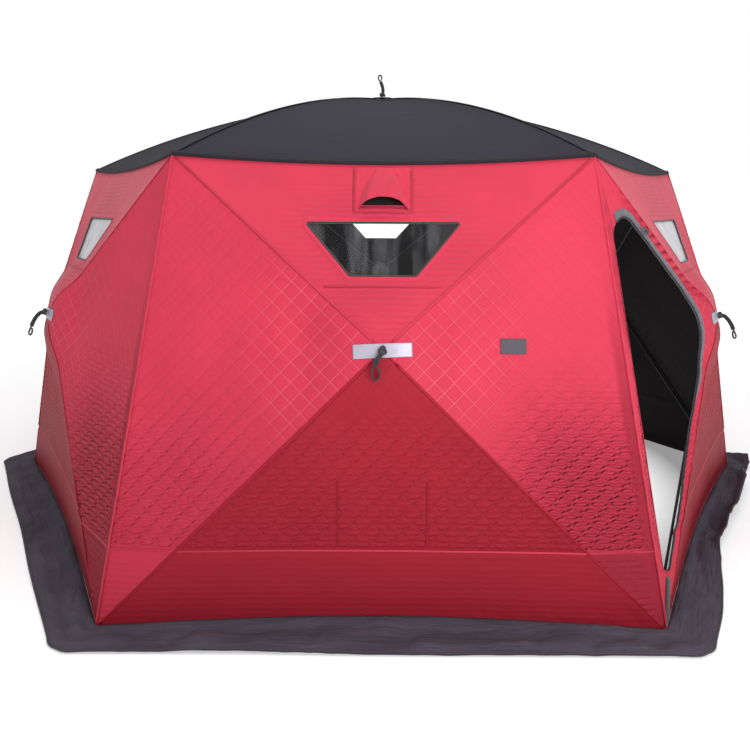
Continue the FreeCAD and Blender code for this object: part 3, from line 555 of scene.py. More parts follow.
def clear_vinyl(name, clearest, haziest):
    """Clear window vinyl: faint streaks of haze and soft waves that bend its reflections. With its haze near
    opaque, its white is a painted reflection.
    """
    shader = Shader(name, srgb(236, 234, 240), 0.09, IOR=1.47, Specular_IOR_Level=0.5)
    where = shader.place("cloth")
    leaning = {"Vector": where, "Rotation": (0, 0, 0.6), "Scale": (9.0, 1.6, 1.0)}
    haze = shader.grain(shader.add("ShaderNodeMapping", leaning).outputs[0], 2.2, 4.0)
    alpha = shader.spread(haze, clearest, haziest, 0.42, 0.72)
    return shader.set(Alpha=alpha, Normal=shader.bump(shader.grain(where, 7.0, 2.0), 0.010, 0.5))


def hook_tape(name):
    """Grey hook-and-loop tape, with rows of tiny hooks."""
    base = srgb(98, 92, 100)
    shader = Shader(name, base, 0.85)
    where = shader.place("cloth")
    rows = {"Vector": where, "Scale": 420.0, "Randomness": 0.25}
    dots = shader.add("ShaderNodeTexVoronoi", rows).outputs[0]
    colour = shader.mix(shader.times(dots, 0.9), base, srgb(64, 59, 66))
    return shader.set(Base_Color=colour, Normal=shader.bump(dots, 0.0012, 0.9))


def floor_material():
    """A pale matt floor that glows: painted light on it inside the shelter, and a glow that grows to the
    studio's white far from it.
    """
    base = srgb(244, 244, 245)
    shader = Shader("studio_floor", base, 0.9)
    where = shader.place()
    patches = shader.grain(where, 0.6, 2.0)
    distance = shader.add("ShaderNodeVectorMath", {0: where}, operation="LENGTH").outputs["Value"]
    glow = shader.spread(distance, 0.28, 0.75, 1.5, 9.0)
    # painted light: the floor glows more inside the shelter
    inside = shader.spread(distance, 0.70, 0.0, 1.45, 1.75)
    glow = shader.plus(glow, inside)
    shader.surface.inputs["Emission Color"].default_value = (1, 1, 1, 1)
    colour = shader.ramp(patches, srgb(243, 243, 244), srgb(246, 246, 247))
    return shader.set(Base_Color=colour, Emission_Strength=glow)


RED = srgb(207, 58, 82)
# a darker copy of the red: painted shade for the bottom panels, which face less of the light
SHADED_RED = shade(RED, (0.60, 0.372, 0.396))
SATIN_TOP = quilted_satin("wall_satin_top", RED, False, srgb(240, 150, 162))
SATIN_SIDE = quilted_satin("wall_satin_side", RED, True, srgb(244, 160, 172))
SATIN_PAINTED_SHADE = quilted_satin("wall_satin_bottom_band", SHADED_RED, True, srgb(232, 130, 142))
LINING = plain_cloth("black_lining", srgb(30, 26, 28), 0.0020, 0.25, 0.8)
ROOF_WEAVE = plain_cloth("roof_oxford", srgb(40, 37, 49), 0.0022, 0.14, 0.70, 0.003, 14.0)
ROOF_HEM = plain_cloth("roof_hem", srgb(36, 33, 43), 0.0022, 0.15, 0.7, 0.004, 30.0)
SKIRT_WEAVE = plain_cloth("skirt_oxford", srgb(75, 69, 82), 0.0026, 0.26, 0.72, 0.014, 11.0)
VINYL = clear_vinyl("window_vinyl", 0.006, 0.055)
# a near-opaque white sheet: a painted reflection of the studio's white in the side windows
REFLECTION_VINYL = clear_vinyl("window_vinyl_clouded", 0.86, 1.0)
BINDING = webbing_material("black_binding", srgb(26, 24, 28))
WEBBING = webbing_material("black_webbing", srgb(30, 28, 32))
REFLECTIVE = reflective_material("reflective_patch")
HOOKS = hook_tape("hook_and_loop")
ZIP_TAPE = webbing_material("zip_tape_cloth", srgb(84, 82, 94))
ZIP_COIL = moulded("zip_coil", srgb(34, 32, 38), 0.45)
ZIP_METAL = moulded("zip_slider_metal", srgb(120, 120, 126), 0.35, metallic=0.9)
ROD = moulded("rod_glassfibre", srgb(26, 28, 30), 0.4, wear=0.2, scale=25.0)
HUB_PLASTIC = moulded("hub_plastic_black", srgb(28, 28, 30), 0.45)
BRACKET_PLASTIC = moulded("bracket_plastic_black", srgb(34, 34, 36), 0.5)
BRASS = moulded("grommet_brass_worn", srgb(176, 150, 104), 0.38, metallic=0.9, scale=200.0)

# ---------------------------------------------------------------- wall panels


def cloth_data(wall, edge, u, v):
    """What the materials read: place and distance to a seam, then folds, stitches and painted shade."""
    s, t = panel_place(edge, u, v)
    a, b = CORNERS[edge]
    length = np.linalg.norm(b - a)
    ridge = np.minimum(s, 1 - s) * length * (1 - t)
    seam = np.minimum(ridge, t * 0.85)
    strong = (wall.name, edge) in PUCKERED
    quilted = smooth(BAND_TOP + 0.004, BAND_TOP + 0.02, v)
    folds = pull(wall, edge, t, v) * (0.25 + 0.75 * quilted)
    # dark is painted shade: low on the puckered panels, in the troughs of the zip's puckers, over the plain
    # band and along the corner seam of the puckered panels
    dark = smooth(0.95, 0.35, v) * smooth(0.75, 0.20, t) * (0.45 if strong else 0.0)
    if (wall.name, edge) == ("front_right", "left"):
        dark = np.maximum(dark, 1.3 * np.maximum(0, -zip_puckers(u, v)) * smooth(0.075, 0.045, seam))
    if strong:
        folds = folds * smooth(0.020, 0.050, 0.85 * t)
        dark = np.maximum(dark, 1.5 * smooth(BAND_TOP + 0.003, BAND_TOP - 0.006, v))
        dark = np.maximum(dark, 1.4 * smooth(0.055, 0.030, 0.85 * t) * smooth(1.45, 0.55, v))
    if edge == "bottom":
        folds = 0.30 * smooth(0.85, 0.65, v) * (0.15 + 0.85 * quilted)
    if edge == "top":
        folds = 0.25 * smooth(0.35, 0.05, np.abs(np.hypot(u, v - WINDOW_BOTTOM) - 0.2))
    from_hub = np.hypot(u, v - HUB_RISE)
    stitches = 0.03 + 0.55 * smooth(0.60, 0.34, from_hub) * (0.7 + 0.3 * noise(u / 0.12, v / 0.12, 17))
    if edge == "bottom":
        stitches = 0.03 * np.ones(len(t))
    return {"cloth": np.column_stack((u, v, seam)), "folds": np.column_stack((folds, stitches, dark))}


def finish_panel(piece, wall, edge):
    blend_wall(piece, wall, edge)
    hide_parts(wall.name + "_wall")


def triangle_panel(wall, edge, count):
    """A whole panel: rows from the outer edge that shorten evenly to one point on the hub."""
    a, b = CORNERS[edge]
    rows, starts = [], [0]
    for i in range(count + 1):
        places = np.linspace(0, 1, count - i + 1)[:, None] if i < count else np.array([[0.5]])
        outer = a + places * (b - a)
        rows.append(outer + (HUB_ON_WALL - outer) * i / count)
        starts.append(starts[-1] + len(places))
    flat = np.vstack(rows)
    faces = []
    for i in range(count):
        low, high = starts[i], starts[i + 1]
        for j in range(count - i):
            faces.append((low + j, low + j + 1, high + j))
            if j < count - i - 1:
                faces.append((low + j + 1, high + j + 1, high + j))
    u, v, n = panel_surface(wall, edge, *flat.T)
    # the bottom panels take the satin with painted shade
    satin = SATIN_PAINTED_SHADE if edge == "bottom" else SATIN_SIDE
    piece = make_piece(f"{wall.name}_{edge}_panel", wall.point(u, v, n), faces, (satin, LINING),
                       cloth_data(wall, edge, *flat.T), thickness=WALL_CLOTH)
    finish_panel(piece, wall, edge)
    return piece


WINDOW_TOP, WINDOW_BOTTOM = 1.457, 1.260             # up the wall
WINDOW_TOP_HALF, WINDOW_BOTTOM_HALF = 0.272, 0.115
WINDOW_COLUMN_HALF = 0.300                           # half the mesh's middle column, at the eaves


def window_half(v):
    """Half the width of the column of mesh that holds the window, at a height on the wall."""
    heights = (HUB_RISE, WINDOW_BOTTOM, WINDOW_TOP, SLOPE)
    return np.interp(v, heights, (0.0, WINDOW_BOTTOM_HALF, WINDOW_TOP_HALF, WINDOW_COLUMN_HALF))


def window_panel(wall, side_columns, middle_columns, row_counts):
    """The top panel, with the hole for its window. Its rows and columns follow the hole's edges."""
    levels = [
        np.linspace(SLOPE, WINDOW_TOP, row_counts[0], endpoint=False),
        np.linspace(WINDOW_TOP, WINDOW_BOTTOM, row_counts[1], endpoint=False),
        np.linspace(WINDOW_BOTTOM, HUB_RISE, row_counts[2] + 1),
    ]
    heights = np.concatenate(levels)
    columns = 2 * side_columns + middle_columns + 1
    u_rows = []
    for v in heights:
        half = TOP_HALF * (v - HUB_RISE) / (SLOPE - HUB_RISE)
        inner = min(float(window_half(v)), half)
        left = np.linspace(half, inner, side_columns, endpoint=False)
        middle = np.linspace(inner, -inner, middle_columns, endpoint=False)
        right = np.linspace(-inner, -half, side_columns + 1)
        u_rows.append(np.concatenate((left, middle, right)))
    u = np.concatenate(u_rows)
    v = np.repeat(heights, columns)
    faces = []
    for face in grid_faces(len(heights), columns):
        row, column = divmod(face[0], columns)
        in_window = row_counts[0] <= row < row_counts[0] + row_counts[1]
        if not (in_window and side_columns <= column < side_columns + middle_columns):
            faces.append(face)
    wu, wv, wn = panel_surface(wall, "top", u, v)
    mesh_points = wall.point(wu, wv, wn)
    piece = make_piece(f"{wall.name}_top_panel", mesh_points, faces, (SATIN_TOP, LINING),
                       cloth_data(wall, "top", u, v), thickness=WALL_CLOTH)
    merge_close(piece)
    finish_panel(piece, wall, "top")
    return piece


def merge_close(piece):
    """Joins points that fell on one place, such as a row that shrank to the hub."""
    work = bmesh.new()
    work.from_mesh(piece.data)
    bmesh.ops.remove_doubles(work, verts=work.verts, dist=1e-5)
    work.to_mesh(piece.data)
    work.free()


def inset_corners(corners, margins):
    """The corners of a polygon moved in from its sides. Corners run anticlockwise.

    margins[i] belongs to the side from corner i to the next one.
    """
    corners = [np.array(c, float) for c in corners]
    moved = []
    for i, corner in enumerate(corners):
        into = unit(corner - corners[i - 1])
        away = unit(corners[(i + 1) % len(corners)] - corner)
        normals = np.array(((-into[1], into[0]), (-away[1], away[0])))
        moved.append(corner + np.linalg.solve(normals, (margins[i - 1], margins[i])))
    return moved


def rounded_outline(corners, radii, arc_steps=24, run_steps=150):
    """Points round a polygon with rounded corners. The count depends only on how many corners it has."""
    points, arcs = [], []
    count = len(corners)
    for i, corner in enumerate(corners):
        to_last = unit(corners[i - 1] - corner)
        to_next = unit(corners[(i + 1) % count] - corner)
        half = 0.5 * math.acos(np.clip(to_last @ to_next, -1, 1))
        reach = radii[i] / math.tan(half)
        centre = corner + unit(to_last + to_next) * radii[i] / math.sin(half)
        first, last = corner + to_last * reach - centre, corner + to_next * reach - centre
        start = math.atan2(first[1], first[0])
        turn = (math.atan2(last[1], last[0]) - start + math.pi) % (2 * math.pi) - math.pi
        angles = start + turn * np.linspace(0, 1, arc_steps + 1)
        arcs.append(centre + radii[i] * np.column_stack((np.cos(angles), np.sin(angles))))
    for i, arc in enumerate(arcs):
        points.extend(arc)
        following = arcs[(i + 1) % count][0]
        for k in range(1, run_steps):
            points.append(arc[-1] + (following - arc[-1]) * k / run_steps)
    return np.array(points)


DOOR_MARGIN = 0.048                                  # the doorway's edge, in from its panel's edges
DOOR_RADII = (0.280, 0.110, 0.030)                   # at the hub, the top and the bottom
DOOR_SIDES = (0.020, 0.0, 0.0)                       # added to the margin: upper run, hinge side, lower run
FLAP_SIDES = (0.020, -0.005, 0.0)                    # the flap comes nearly to the hinge line
DOOR_PLAY = 0.009                                    # the gap round the closed flap
DOOR_WALL = walls[1]
DOOR_CORNERS = (HUB_ON_WALL, *CORNERS["left"])


def door_outline(margin, sides=DOOR_SIDES):
    """The doorway's outline, in (u, v) of its wall, at a distance in from the panel's edges."""
    radii = [max(0.002, radius - (margin - DOOR_MARGIN)) for radius in DOOR_RADII]
    margins = [max(0.002, margin + extra) for extra in sides]
    return rounded_outline(inset_corners(DOOR_CORNERS, margins), radii)


def doorway_panel():
    """The cloth round the doorway: rings from the panel's own edges to the doorway's outline."""
    rings = 8
    outer = rounded_outline(DOOR_CORNERS, [0.0005] * 3)
    inner = door_outline(DOOR_MARGIN)
    flat = np.vstack([outer + (inner - outer) * k / rings for k in range(rings + 1)])
    u, v, n = panel_surface(DOOR_WALL, "left", *flat.T, fuss=0.8)
    piece = make_piece("front_right_left_panel", DOOR_WALL.point(u, v, n),
                       grid_faces(rings + 1, len(outer), closed=True), (SATIN_SIDE, LINING),
                       cloth_data(DOOR_WALL, "left", *flat.T), thickness=WALL_CLOTH)
    blend_wall(piece, DOOR_WALL, "left")
    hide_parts("front_right_wall")


# rows of a whole panel, and then the top panel's: columns beside and across its window, and rows above,
# beside and below the window
FINE_MESH = (150, (52, 40, (22, 18, 24)))
COARSE_MESH = (100, (34, 28, (16, 12, 18)))


def build_walls():
    """All six walls, the three that face the front on a finer mesh."""
    for wall in walls:
        count, top_counts = FINE_MESH if wall.name in FINE_WALLS else COARSE_MESH
        for edge in ("bottom", "right", "left"):
            if (wall.name, edge) == ("front_right", "left"):
                doorway_panel()
            else:
                triangle_panel(wall, edge, count)
        window_panel(wall, *top_counts)


# ---------------------------------------------------------------- roof


def corner_direction(index):
    """From the centre towards a corner of the hexagon. Corner 0 is at the right of the front wall."""
    angle = math.radians(60 * index - 60)
    return np.array((math.cos(angle), math.sin(angle), 0.0))


def roof_corner(index):
    """A corner of the eaves."""
    return TOP_SIDE * corner_direction(index) + EAVE_Z * UP


def ridge(index, t):
    """A point on a roof ridge, an arc that bows ROOF_BOW above the line from the eaves to the hub."""
    corner = roof_corner(index)
    chord = np.linalg.norm(APEX - corner)
    radius = (chord**2 / 4 + ROOF_BOW**2) / (2 * ROOF_BOW)
    x = (np.asarray(t) - 0.5) * chord
    rise = np.sqrt(radius**2 - x**2) - (radius - ROOF_BOW)
    along = (APEX - corner) / chord
    upward = np.cross(along, unit(np.cross(UP, along)))
    return corner + np.asarray(t)[:, None] * (APEX - corner) + rise[:, None] * upward


ROOF_SAG = 0.030


def roof_surface(index, s, t, fuss=1.0):
    """A point on the roof between ridge index - 1 and ridge index, over wall number index."""
    first, second = ridge(index - 1, t), ridge(index, t)
    points = first + s[:, None] * (second - first)
    span = 1 - t
    sag = ROOF_SAG * arch(s) * arch(np.clip(t * 0.9 + 0.05, 0, 1)) * 1.1
    eave = EAVE_SAG * math.cos(LEAN) * arch(s) * (1 - t) ** 6
    across = (s - 0.5) * span
    folds = noise(across / 0.055, t / 0.35, 71 + index) * bell(t, 0.25) * 0.0035
    broad = noise(across / 0.25 + 3.1, t / 0.22, 81 + index) * 0.004
    edge = smooth(0, 0.05, s * span) * smooth(0, 0.05, (1 - s) * span) * smooth(0, 0.04, t)
    cap = 0.0095 * (1 - smooth(0.05, 0.11, (1 - t) * TOP_SIDE))
    rise = -sag - eave + fuss * edge * (folds + broad) + cap
    outward = unit(walls[index].out * np.array((1, 1, 0)))
    lean_out = math.sin(LEAN) * EAVE_SAG * arch(s) * (1 - t) ** 6
    return points + UP * rise[:, None] + outward * lean_out[:, None]


def roof_sector(index):
    """One of the roof's six gores, from its ridge to the next and from the eaves to the hub."""
    rows, columns = 56, 52
    t = np.concatenate((np.linspace(0, 0.06, 6, endpoint=False), np.linspace(0.06, 1, rows)))
    s = np.linspace(0, 1, columns)
    ss, tt = np.meshgrid(s, t)
    ss, tt = ss.ravel(), tt.ravel()
    points = roof_surface(index, ss, tt)
    faces = grid_faces(len(t), columns)
    where = np.column_stack(((ss - 0.5) * (1 - tt) * TOP_SIDE, tt * TOP_SIDE, tt))
    piece = make_piece(f"{walls[index].name}_roof_gore", points, faces, (ROOF_WEAVE, LINING),
                       {"cloth": where}, thickness=ROOF_CLOTH)
    merge_close(piece)
    blend_roof(piece, index)
    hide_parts("roof_canopy")


def blend_roof(piece, index):
    """Works out the middle of the piece's eave and the roof's hub, then bakes the piece's placement into its
    points.
    """
    blend_towards(piece, (roof_corner(index) + roof_corner(index - 1)) / 2, APEX)


# ---------------------------------------------------------------- snow skirt

SKIRT_APOTHEM, SKIRT_CIRCLE = 1.940, 2.220
SKIRT_CLOTH = 0.002
GROMMET = Vector((0.955, -1.868, (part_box("skirt_grommets")[0].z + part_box("skirt_grommets")[1].z) / 2))


HALF_TURN = math.pi / 6                              # from the middle of a wall to its corner


def corner_turn(angle):
    """A direction from the centre, measured from the middle of the wall that it passes through."""
    return (angle + math.pi / 2 + HALF_TURN) % (2 * HALF_TURN) - HALF_TURN


def rucking(angle):
    """1 along the front-right side, where the skirt is pushed up into folds, and 0 elsewhere."""
    bearing = (angle + math.pi) % (2 * math.pi) - math.pi
    return smooth(-0.95, -0.70, bearing) * smooth(0.20, 0.0, bearing)


def hem_radius(angle):
    """How far the walls' hem is from the centre, in a direction."""
    turn = corner_turn(angle)
    straight = (BASE_APOTHEM - 0.004) / np.cos(turn)
    s = np.tan(turn) / math.tan(HALF_TURN) / 2 + 0.5
    return straight - HEM_BOW * arch(s)


def skirt_outline(angle):
    """The skirt's outer edge: straight sides, with a circle across each corner and slack waves."""
    side = SKIRT_APOTHEM / np.cos(corner_turn(angle))
    cut = smooth(-0.03, 0.03, side - SKIRT_CIRCLE)
    base = side * (1 - cut) + SKIRT_CIRCLE * cut
    waves = 0.007 * noise(angle * 12 / math.pi + 40, angle * 0, 5)
    return base - 0.004 + waves - rucking(angle) * (0.050 + 0.030 * noise(angle * 11, angle * 0, 6))


def build_skirt():
    """The skirt falls from the hem to the ground and spreads out in crinkles, with its edge curling up."""
    around, out = 900, 18
    angle = np.linspace(0, 2 * math.pi, around, endpoint=False)
    share = np.linspace(0, 1, out) ** 0.9
    aa, rr = np.meshgrid(angle, share)
    aa, rr = aa.ravel(), rr.ravel()
    inner, outer = hem_radius(aa) + 0.006, skirt_outline(aa)
    radius = inner + (outer - inner) * rr
    x, y = radius * np.cos(aa), radius * np.sin(aa)
    fall = (0.002 + 0.030 * arch(corner_turn(aa) * 3 / math.pi + 0.5)) * (1 - smooth(0, 0.42, rr)) ** 1.5
    crumple = np.abs(noise(x / 0.16, y / 0.16, 7)) * 0.016 + np.abs(noise(x / 0.07, y / 0.07, 8)) * 0.009
    drag = np.abs(noise(aa * 48 / math.pi, rr * 1.3, 9)) * 0.014 * smooth(0.05, 0.5, rr)
    rucked = rucking(aa)
    curl = (0.006 + 0.050 * rucked) * smooth(0.72, 1.0, rr) * (0.3 + 0.7 * noise(aa * 9, rr * 0, 10))
    lobes = 0.022 * rucked * np.abs(noise(aa * 13, rr * 0.9, 12)) * smooth(0.1, 0.6, rr)
    rim_flat = 1 - 0.75 * smooth(0.70, 1.0, rr) * (1 - rucked)
    z = 0.006 + fall + (crumple + drag) * smooth(0.0, 0.18, rr) * rim_flat + np.maximum(curl, 0) + lobes
    for index in range(6):
        turned = Matrix.Rotation(math.radians(60 * index), 3, "Z") @ GROMMET
        near = np.hypot(x - turned.x, y - turned.y)
        flat = 1 - smooth(0.018, 0.06, near)
        z = z * (1 - flat) + GROMMET.z * flat
    z = np.maximum(z, 0.0035)
    points = np.column_stack((x, y, z))
    faces = grid_faces(out, around, closed=True, flip=True)
    piece = make_piece("snow_skirt_cloth", points, faces, (SKIRT_WEAVE,),
                       {"cloth": np.column_stack((x, y, rr))}, thickness=SKIRT_CLOTH, offset=0.0)
    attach(piece, "shelter")
    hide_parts("snow_skirt")
    edging = tube("snow_skirt_edging", points[-around:], 0.0032, BINDING, sides=6, closed=True)
    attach(edging, "shelter")


# ---------------------------------------------------------------- strips, seams and tubes


def resample(points, spacing):
    """Evenly spaced points along a polyline."""
    points = np.asarray(points, float)
    lengths = run_length(points)
    wanted = np.linspace(0, lengths[-1], max(2, int(round(lengths[-1] / spacing)) + 1))
    return np.column_stack([np.interp(wanted, lengths, points[:, k]) for k in range(points.shape[1])])


def curve_through(points, spacing):
    """A smooth Catmull-Rom line through the points, evenly sampled."""
    points = np.asarray(points, float)
    padded = np.vstack((2 * points[0] - points[1], points, 2 * points[-1] - points[-2]))
    dense = []
    for i in range(len(points) - 1):
        p0, p1, p2, p3 = padded[i:i + 4]
        t = np.linspace(0, 1, 24, endpoint=False)[:, None]
        dense.append(0.5 * (2 * p1 + (p2 - p0) * t + (2 * p0 - 5 * p1 + 4 * p2 - p3) * t**2
                            + (3 * p1 - p0 - 3 * p2 + p3) * t**3))
    dense.append(points[-1:])
    return resample(np.vstack(dense), spacing)


STRIP_DOME = (0, 0.8, 1, 0.8, 0)                     # height across a sewn strip, as shares of its rise
STRIP_LIFT = 0.0006


def wall_strip(name, wall, path, width, rise, material, spacing=0.012):
    """A sewn strip that follows the wall's cloth along a path of (u, v), domed across its width."""
    path = resample(path, spacing)
    run = unit(np.gradient(path, axis=0))
    side = np.column_stack((-run[:, 1], run[:, 0]))
    along = np.arange(len(path)) * spacing
    layers, places = [], []
    for share, height in zip(np.linspace(-0.5, 0.5, len(STRIP_DOME)), STRIP_DOME):
        line = path + side * share * width
        layers.append(on_wall(wall, *line.T, STRIP_LIFT + rise * height))
        places.append(plain_places(np.full(len(path), share * width), along))
    return make_rows(name, layers, places, material, flip=True)


def sew(piece, wall, edge):
    """Passes a piece to blend_wall for a panel of the wall, which bakes its placement into its points."""
    blend_wall(piece, wall, edge)


def tube(name, line, radius, material, sides=8, closed=False, radii=None):
    """A round cord along a line of points. radii scales its radius from point to point."""
    line = np.asarray(line, float)
    run = np.roll(line, -1, axis=0) - np.roll(line, 1, axis=0) if closed else np.gradient(line, axis=0)
    run = unit(run)
    guide = UP if abs(run[:, 2]).max() < 0.9 else np.array((0.31, 0.95, 0.05))
    side = unit(np.cross(run, guide))
    up = np.cross(side, run)
    reach = radius * (np.ones(len(line)) if radii is None else np.asarray(radii))[:, None]
    along = run_length(line)
    points, places = [], []
    for k in range(sides):
        angle = 2 * math.pi * k / sides
        points.append(line + reach * (math.cos(angle) * side + math.sin(angle) * up))
        places.append(plain_places(np.full(len(line), radius * angle), along))
    points, places = np.stack(points, 1).reshape(-1, 3), np.stack(places, 1).reshape(-1, 3)
    rows = len(line)
    faces = grid_faces(rows, sides, closed=True)
    if closed:
        for j in range(sides):
            k = (j + 1) % sides
            faces.append(((rows - 1) * sides + j, (rows - 1) * sides + k, k, j))
    else:
        faces.append(tuple(range(sides))[::-1])
        faces.append(tuple((rows - 1) * sides + j for j in range(sides)))
    return make_piece(name, points, [face[::-1] for face in faces], (material,), {"cloth": places})


def ribbon(name, line, side, width, thickness, material):
    """Flat webbing along a line of points. side is the direction across it, made square to its run."""
    line = np.asarray(line, float)
    side = np.broadcast_to(np.asarray(side, float), line.shape)
    run = unit(np.gradient(line, axis=0))
    side = unit(side - (side * run).sum(1)[:, None] * run)
    face = np.cross(run, side)
    along = run_length(line)
    rim = [(-0.5, -0.2), (-0.42, -0.5), (0, -0.42), (0.42, -0.5), (0.5, -0.2),
           (0.5, 0.2), (0.42, 0.5), (0, 0.42), (-0.42, 0.5), (-0.5, 0.2)]
    points = [line + a * width * side + b * thickness * face for a, b in rim]
    places = [plain_places(np.full(len(line), a * width), along) for a, b in rim]
    points, places = np.stack(points, 1).reshape(-1, 3), np.stack(places, 1).reshape(-1, 3)
    faces = grid_faces(len(line), len(rim), closed=True)
    faces.append(tuple(range(len(rim)))[::-1])
    faces.append(tuple((len(line) - 1) * len(rim) + j for j in range(len(rim))))
    return make_piece(name, points, faces, (material,), {"cloth": places})


def ridge_seams(wall):
    """Felled seams over the four rods, from the wall's corners to its hub."""
    # the lower seams take the satin with painted shade, like the bottom panels
    for label, edge, satin in (("lower_left", "bottom", SATIN_PAINTED_SHADE), ("lower_right", "right", SATIN_PAINTED_SHADE),
                               ("upper_right", "top", SATIN_TOP), ("upper_left", "left", SATIN_TOP)):
        start = CORNERS[edge][0]
        path = [start + (HUB_ON_WALL - start) * k for k in (0.012, 0.955)]
        piece = wall_strip(f"{wall.name}_seam_{label}", wall, path, 0.008, 0.0005, satin, spacing=0.02)
        blend_towards(piece, wall.point(*start, 0)[0], wall.hub())


def corner_seams():
    """Piping down the six corners where the walls are sewn to each other."""
    share = np.linspace(0, 1, 140)[:, None]
    for index in range(6):
        outward = corner_direction(index)
        low, high = BASE_SIDE * outward + 0.016 * UP, roof_corner(index)
        line = low + (high - low) * share
        line = line + outward * (0.0012 * noise(share * 40, share * 0, 91 + index) - 0.001)
        piece = tube(f"corner_piping_{index + 1}", line, 0.0040, SATIN_TOP)
        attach(piece, "shelter")


def eave_line(index):
    """The sagging line where a wall meets the roof."""
    s = np.linspace(0, 1, 60, endpoint=False)
    return roof_surface(index, s, np.zeros(len(s)), 0.0)


# rows across the turned-down hem: out of the wall, and up it
HEM_PLACES = ((-0.0040, 0.012), (0.0040, 0.007), (0.0070, 0.001), (0.0080, -0.005))


def eave_hem():
    """The roof's hem, turned down over the top of the walls, with a thin cord in its edge."""
    rows = [np.vstack([eave_line(k) + walls[k].out * out + walls[k].up * up for k in range(6)])
            for out, up in HEM_PLACES]
    hem = make_rows("eave_hem", rows, rows, ROOF_HEM, thickness=0.0010, closed=True, offset=0.0)
    cord = tube("eave_cord", rows[-1], 0.0020, ROOF_HEM, closed=True)
    for piece in (hem, cord):
        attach(piece, "shelter")


HEM_DROPS = (0.0, 0.012, 0.024, 0.030)               # the hem band's rows, as shares of the way to the hub


def roof_seams():
    """Felled seams along the roof's six ridges, and the hem band along its eaves."""
    t = np.linspace(0.004, 0.955, 90)
    s = np.linspace(0.004, 0.996, 80)
    for index in range(6):
        cloth = roof_surface(index, np.full(len(t), 1 - 0.004), t, 0.0)
        line = ridge(index, t) + 0.0015 * UP
        line[:, 2] = np.maximum(line[:, 2], cloth[:, 2])
        across = np.cross(line[0] - line[-1], UP)
        piece = ribbon(f"roof_seam_{index + 1}", line, across, 0.018, 0.0022, ROOF_HEM)
        blend_roof(piece, index)
        rows, where = [], []
        for drop in HEM_DROPS:
            height = -0.0008 if drop == HEM_DROPS[-1] else 0.0016
            level = np.full(len(s), drop)
            rows.append(roof_surface(index, s, level, 0.6) + height * UP)
            where.append(np.column_stack((s * TOP_SIDE, level * TOP_SIDE, level)))
        wall_name = walls[index].name
        band = make_rows(f"{wall_name}_roof_hem", rows, where, ROOF_HEM, offset=1.0)
        blend_roof(band, index)


# ---------------------------------------------------------------- windows, vent hood, patches

WINDOW_CORNERS = ((-WINDOW_BOTTOM_HALF, WINDOW_BOTTOM), (WINDOW_BOTTOM_HALF, WINDOW_BOTTOM),
                  (WINDOW_TOP_HALF, WINDOW_TOP), (-WINDOW_TOP_HALF, WINDOW_TOP))
PANE_LAP = 0.008                                     # the vinyl goes this far behind the wall's edge
PANE_DEPTH = 0.0052                                  # how far behind the wall's surface the pane lies


def window_ring(name, wall, margins, heights, material):
    """A border round the window: rings at margins in from its edge, at heights over the wall's cloth."""
    layers, places = [], []
    for margin, height in zip(margins, heights):
        corners = inset_corners(WINDOW_CORNERS, [margin] * 4)
        outline = rounded_outline(corners, [max(0.002, 0.004 - margin)] * 4, 6, 26)
        layers.append(on_wall(wall, *outline.T, height))
        places.append(plain_places(*outline.T))
    return make_rows(name, layers, places, material, closed=True)


def window(wall):
    """Vinyl in the wall, clear in the front and back walls and elsewhere a near-opaque white that is a
    painted reflection, with a black binding on its edge and a turned red border.
    """
    rows, columns = 26, 60
    v = np.linspace(WINDOW_BOTTOM - PANE_LAP, WINDOW_TOP + PANE_LAP, rows)
    half = np.interp(v, (WINDOW_BOTTOM, WINDOW_TOP), (WINDOW_BOTTOM_HALF, WINDOW_TOP_HALF)) + 0.009
    u = np.concatenate([np.linspace(-h, h, columns) for h in half])
    vv = np.repeat(v, columns)
    slack = 0.0035 * noise(u / 0.14, vv / 0.10 + u / 0.3, 51 + wall.index)
    points = on_wall(wall, u, vv, -PANE_DEPTH)
    points = points + wall.out * np.minimum(slack, 0.001)[:, None]
    # the other windows take the near-opaque white vinyl, a painted reflection
    vinyl = VINYL if wall.name in ("front", "back") else REFLECTION_VINYL
    pane = make_piece(wall.name + "_window", points, grid_faces(rows, columns), (vinyl,),
                      {"cloth": plain_places(u, vv)}, thickness=0.0006)
    sew(pane, wall, "top")
    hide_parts("window_panes")
    binding = window_ring(wall.name + "_window_binding", wall, (-0.0062, -0.0045, -0.0005, 0.0008),
                          (0.0016, 0.0026, 0.0022, -0.003), BINDING)
    border = window_ring(wall.name + "_window_border", wall, (-0.022, -0.020, -0.013, -0.0065, -0.005),
                         (0.0004, 0.0014, 0.0018, 0.0014, 0.0004), SATIN_TOP)
    sew(binding, wall, "top")
    sew(border, wall, "top")


HOOD_HALF, HOOD_TOP, HOOD_BOTTOM = 0.103, 1.694, 1.505


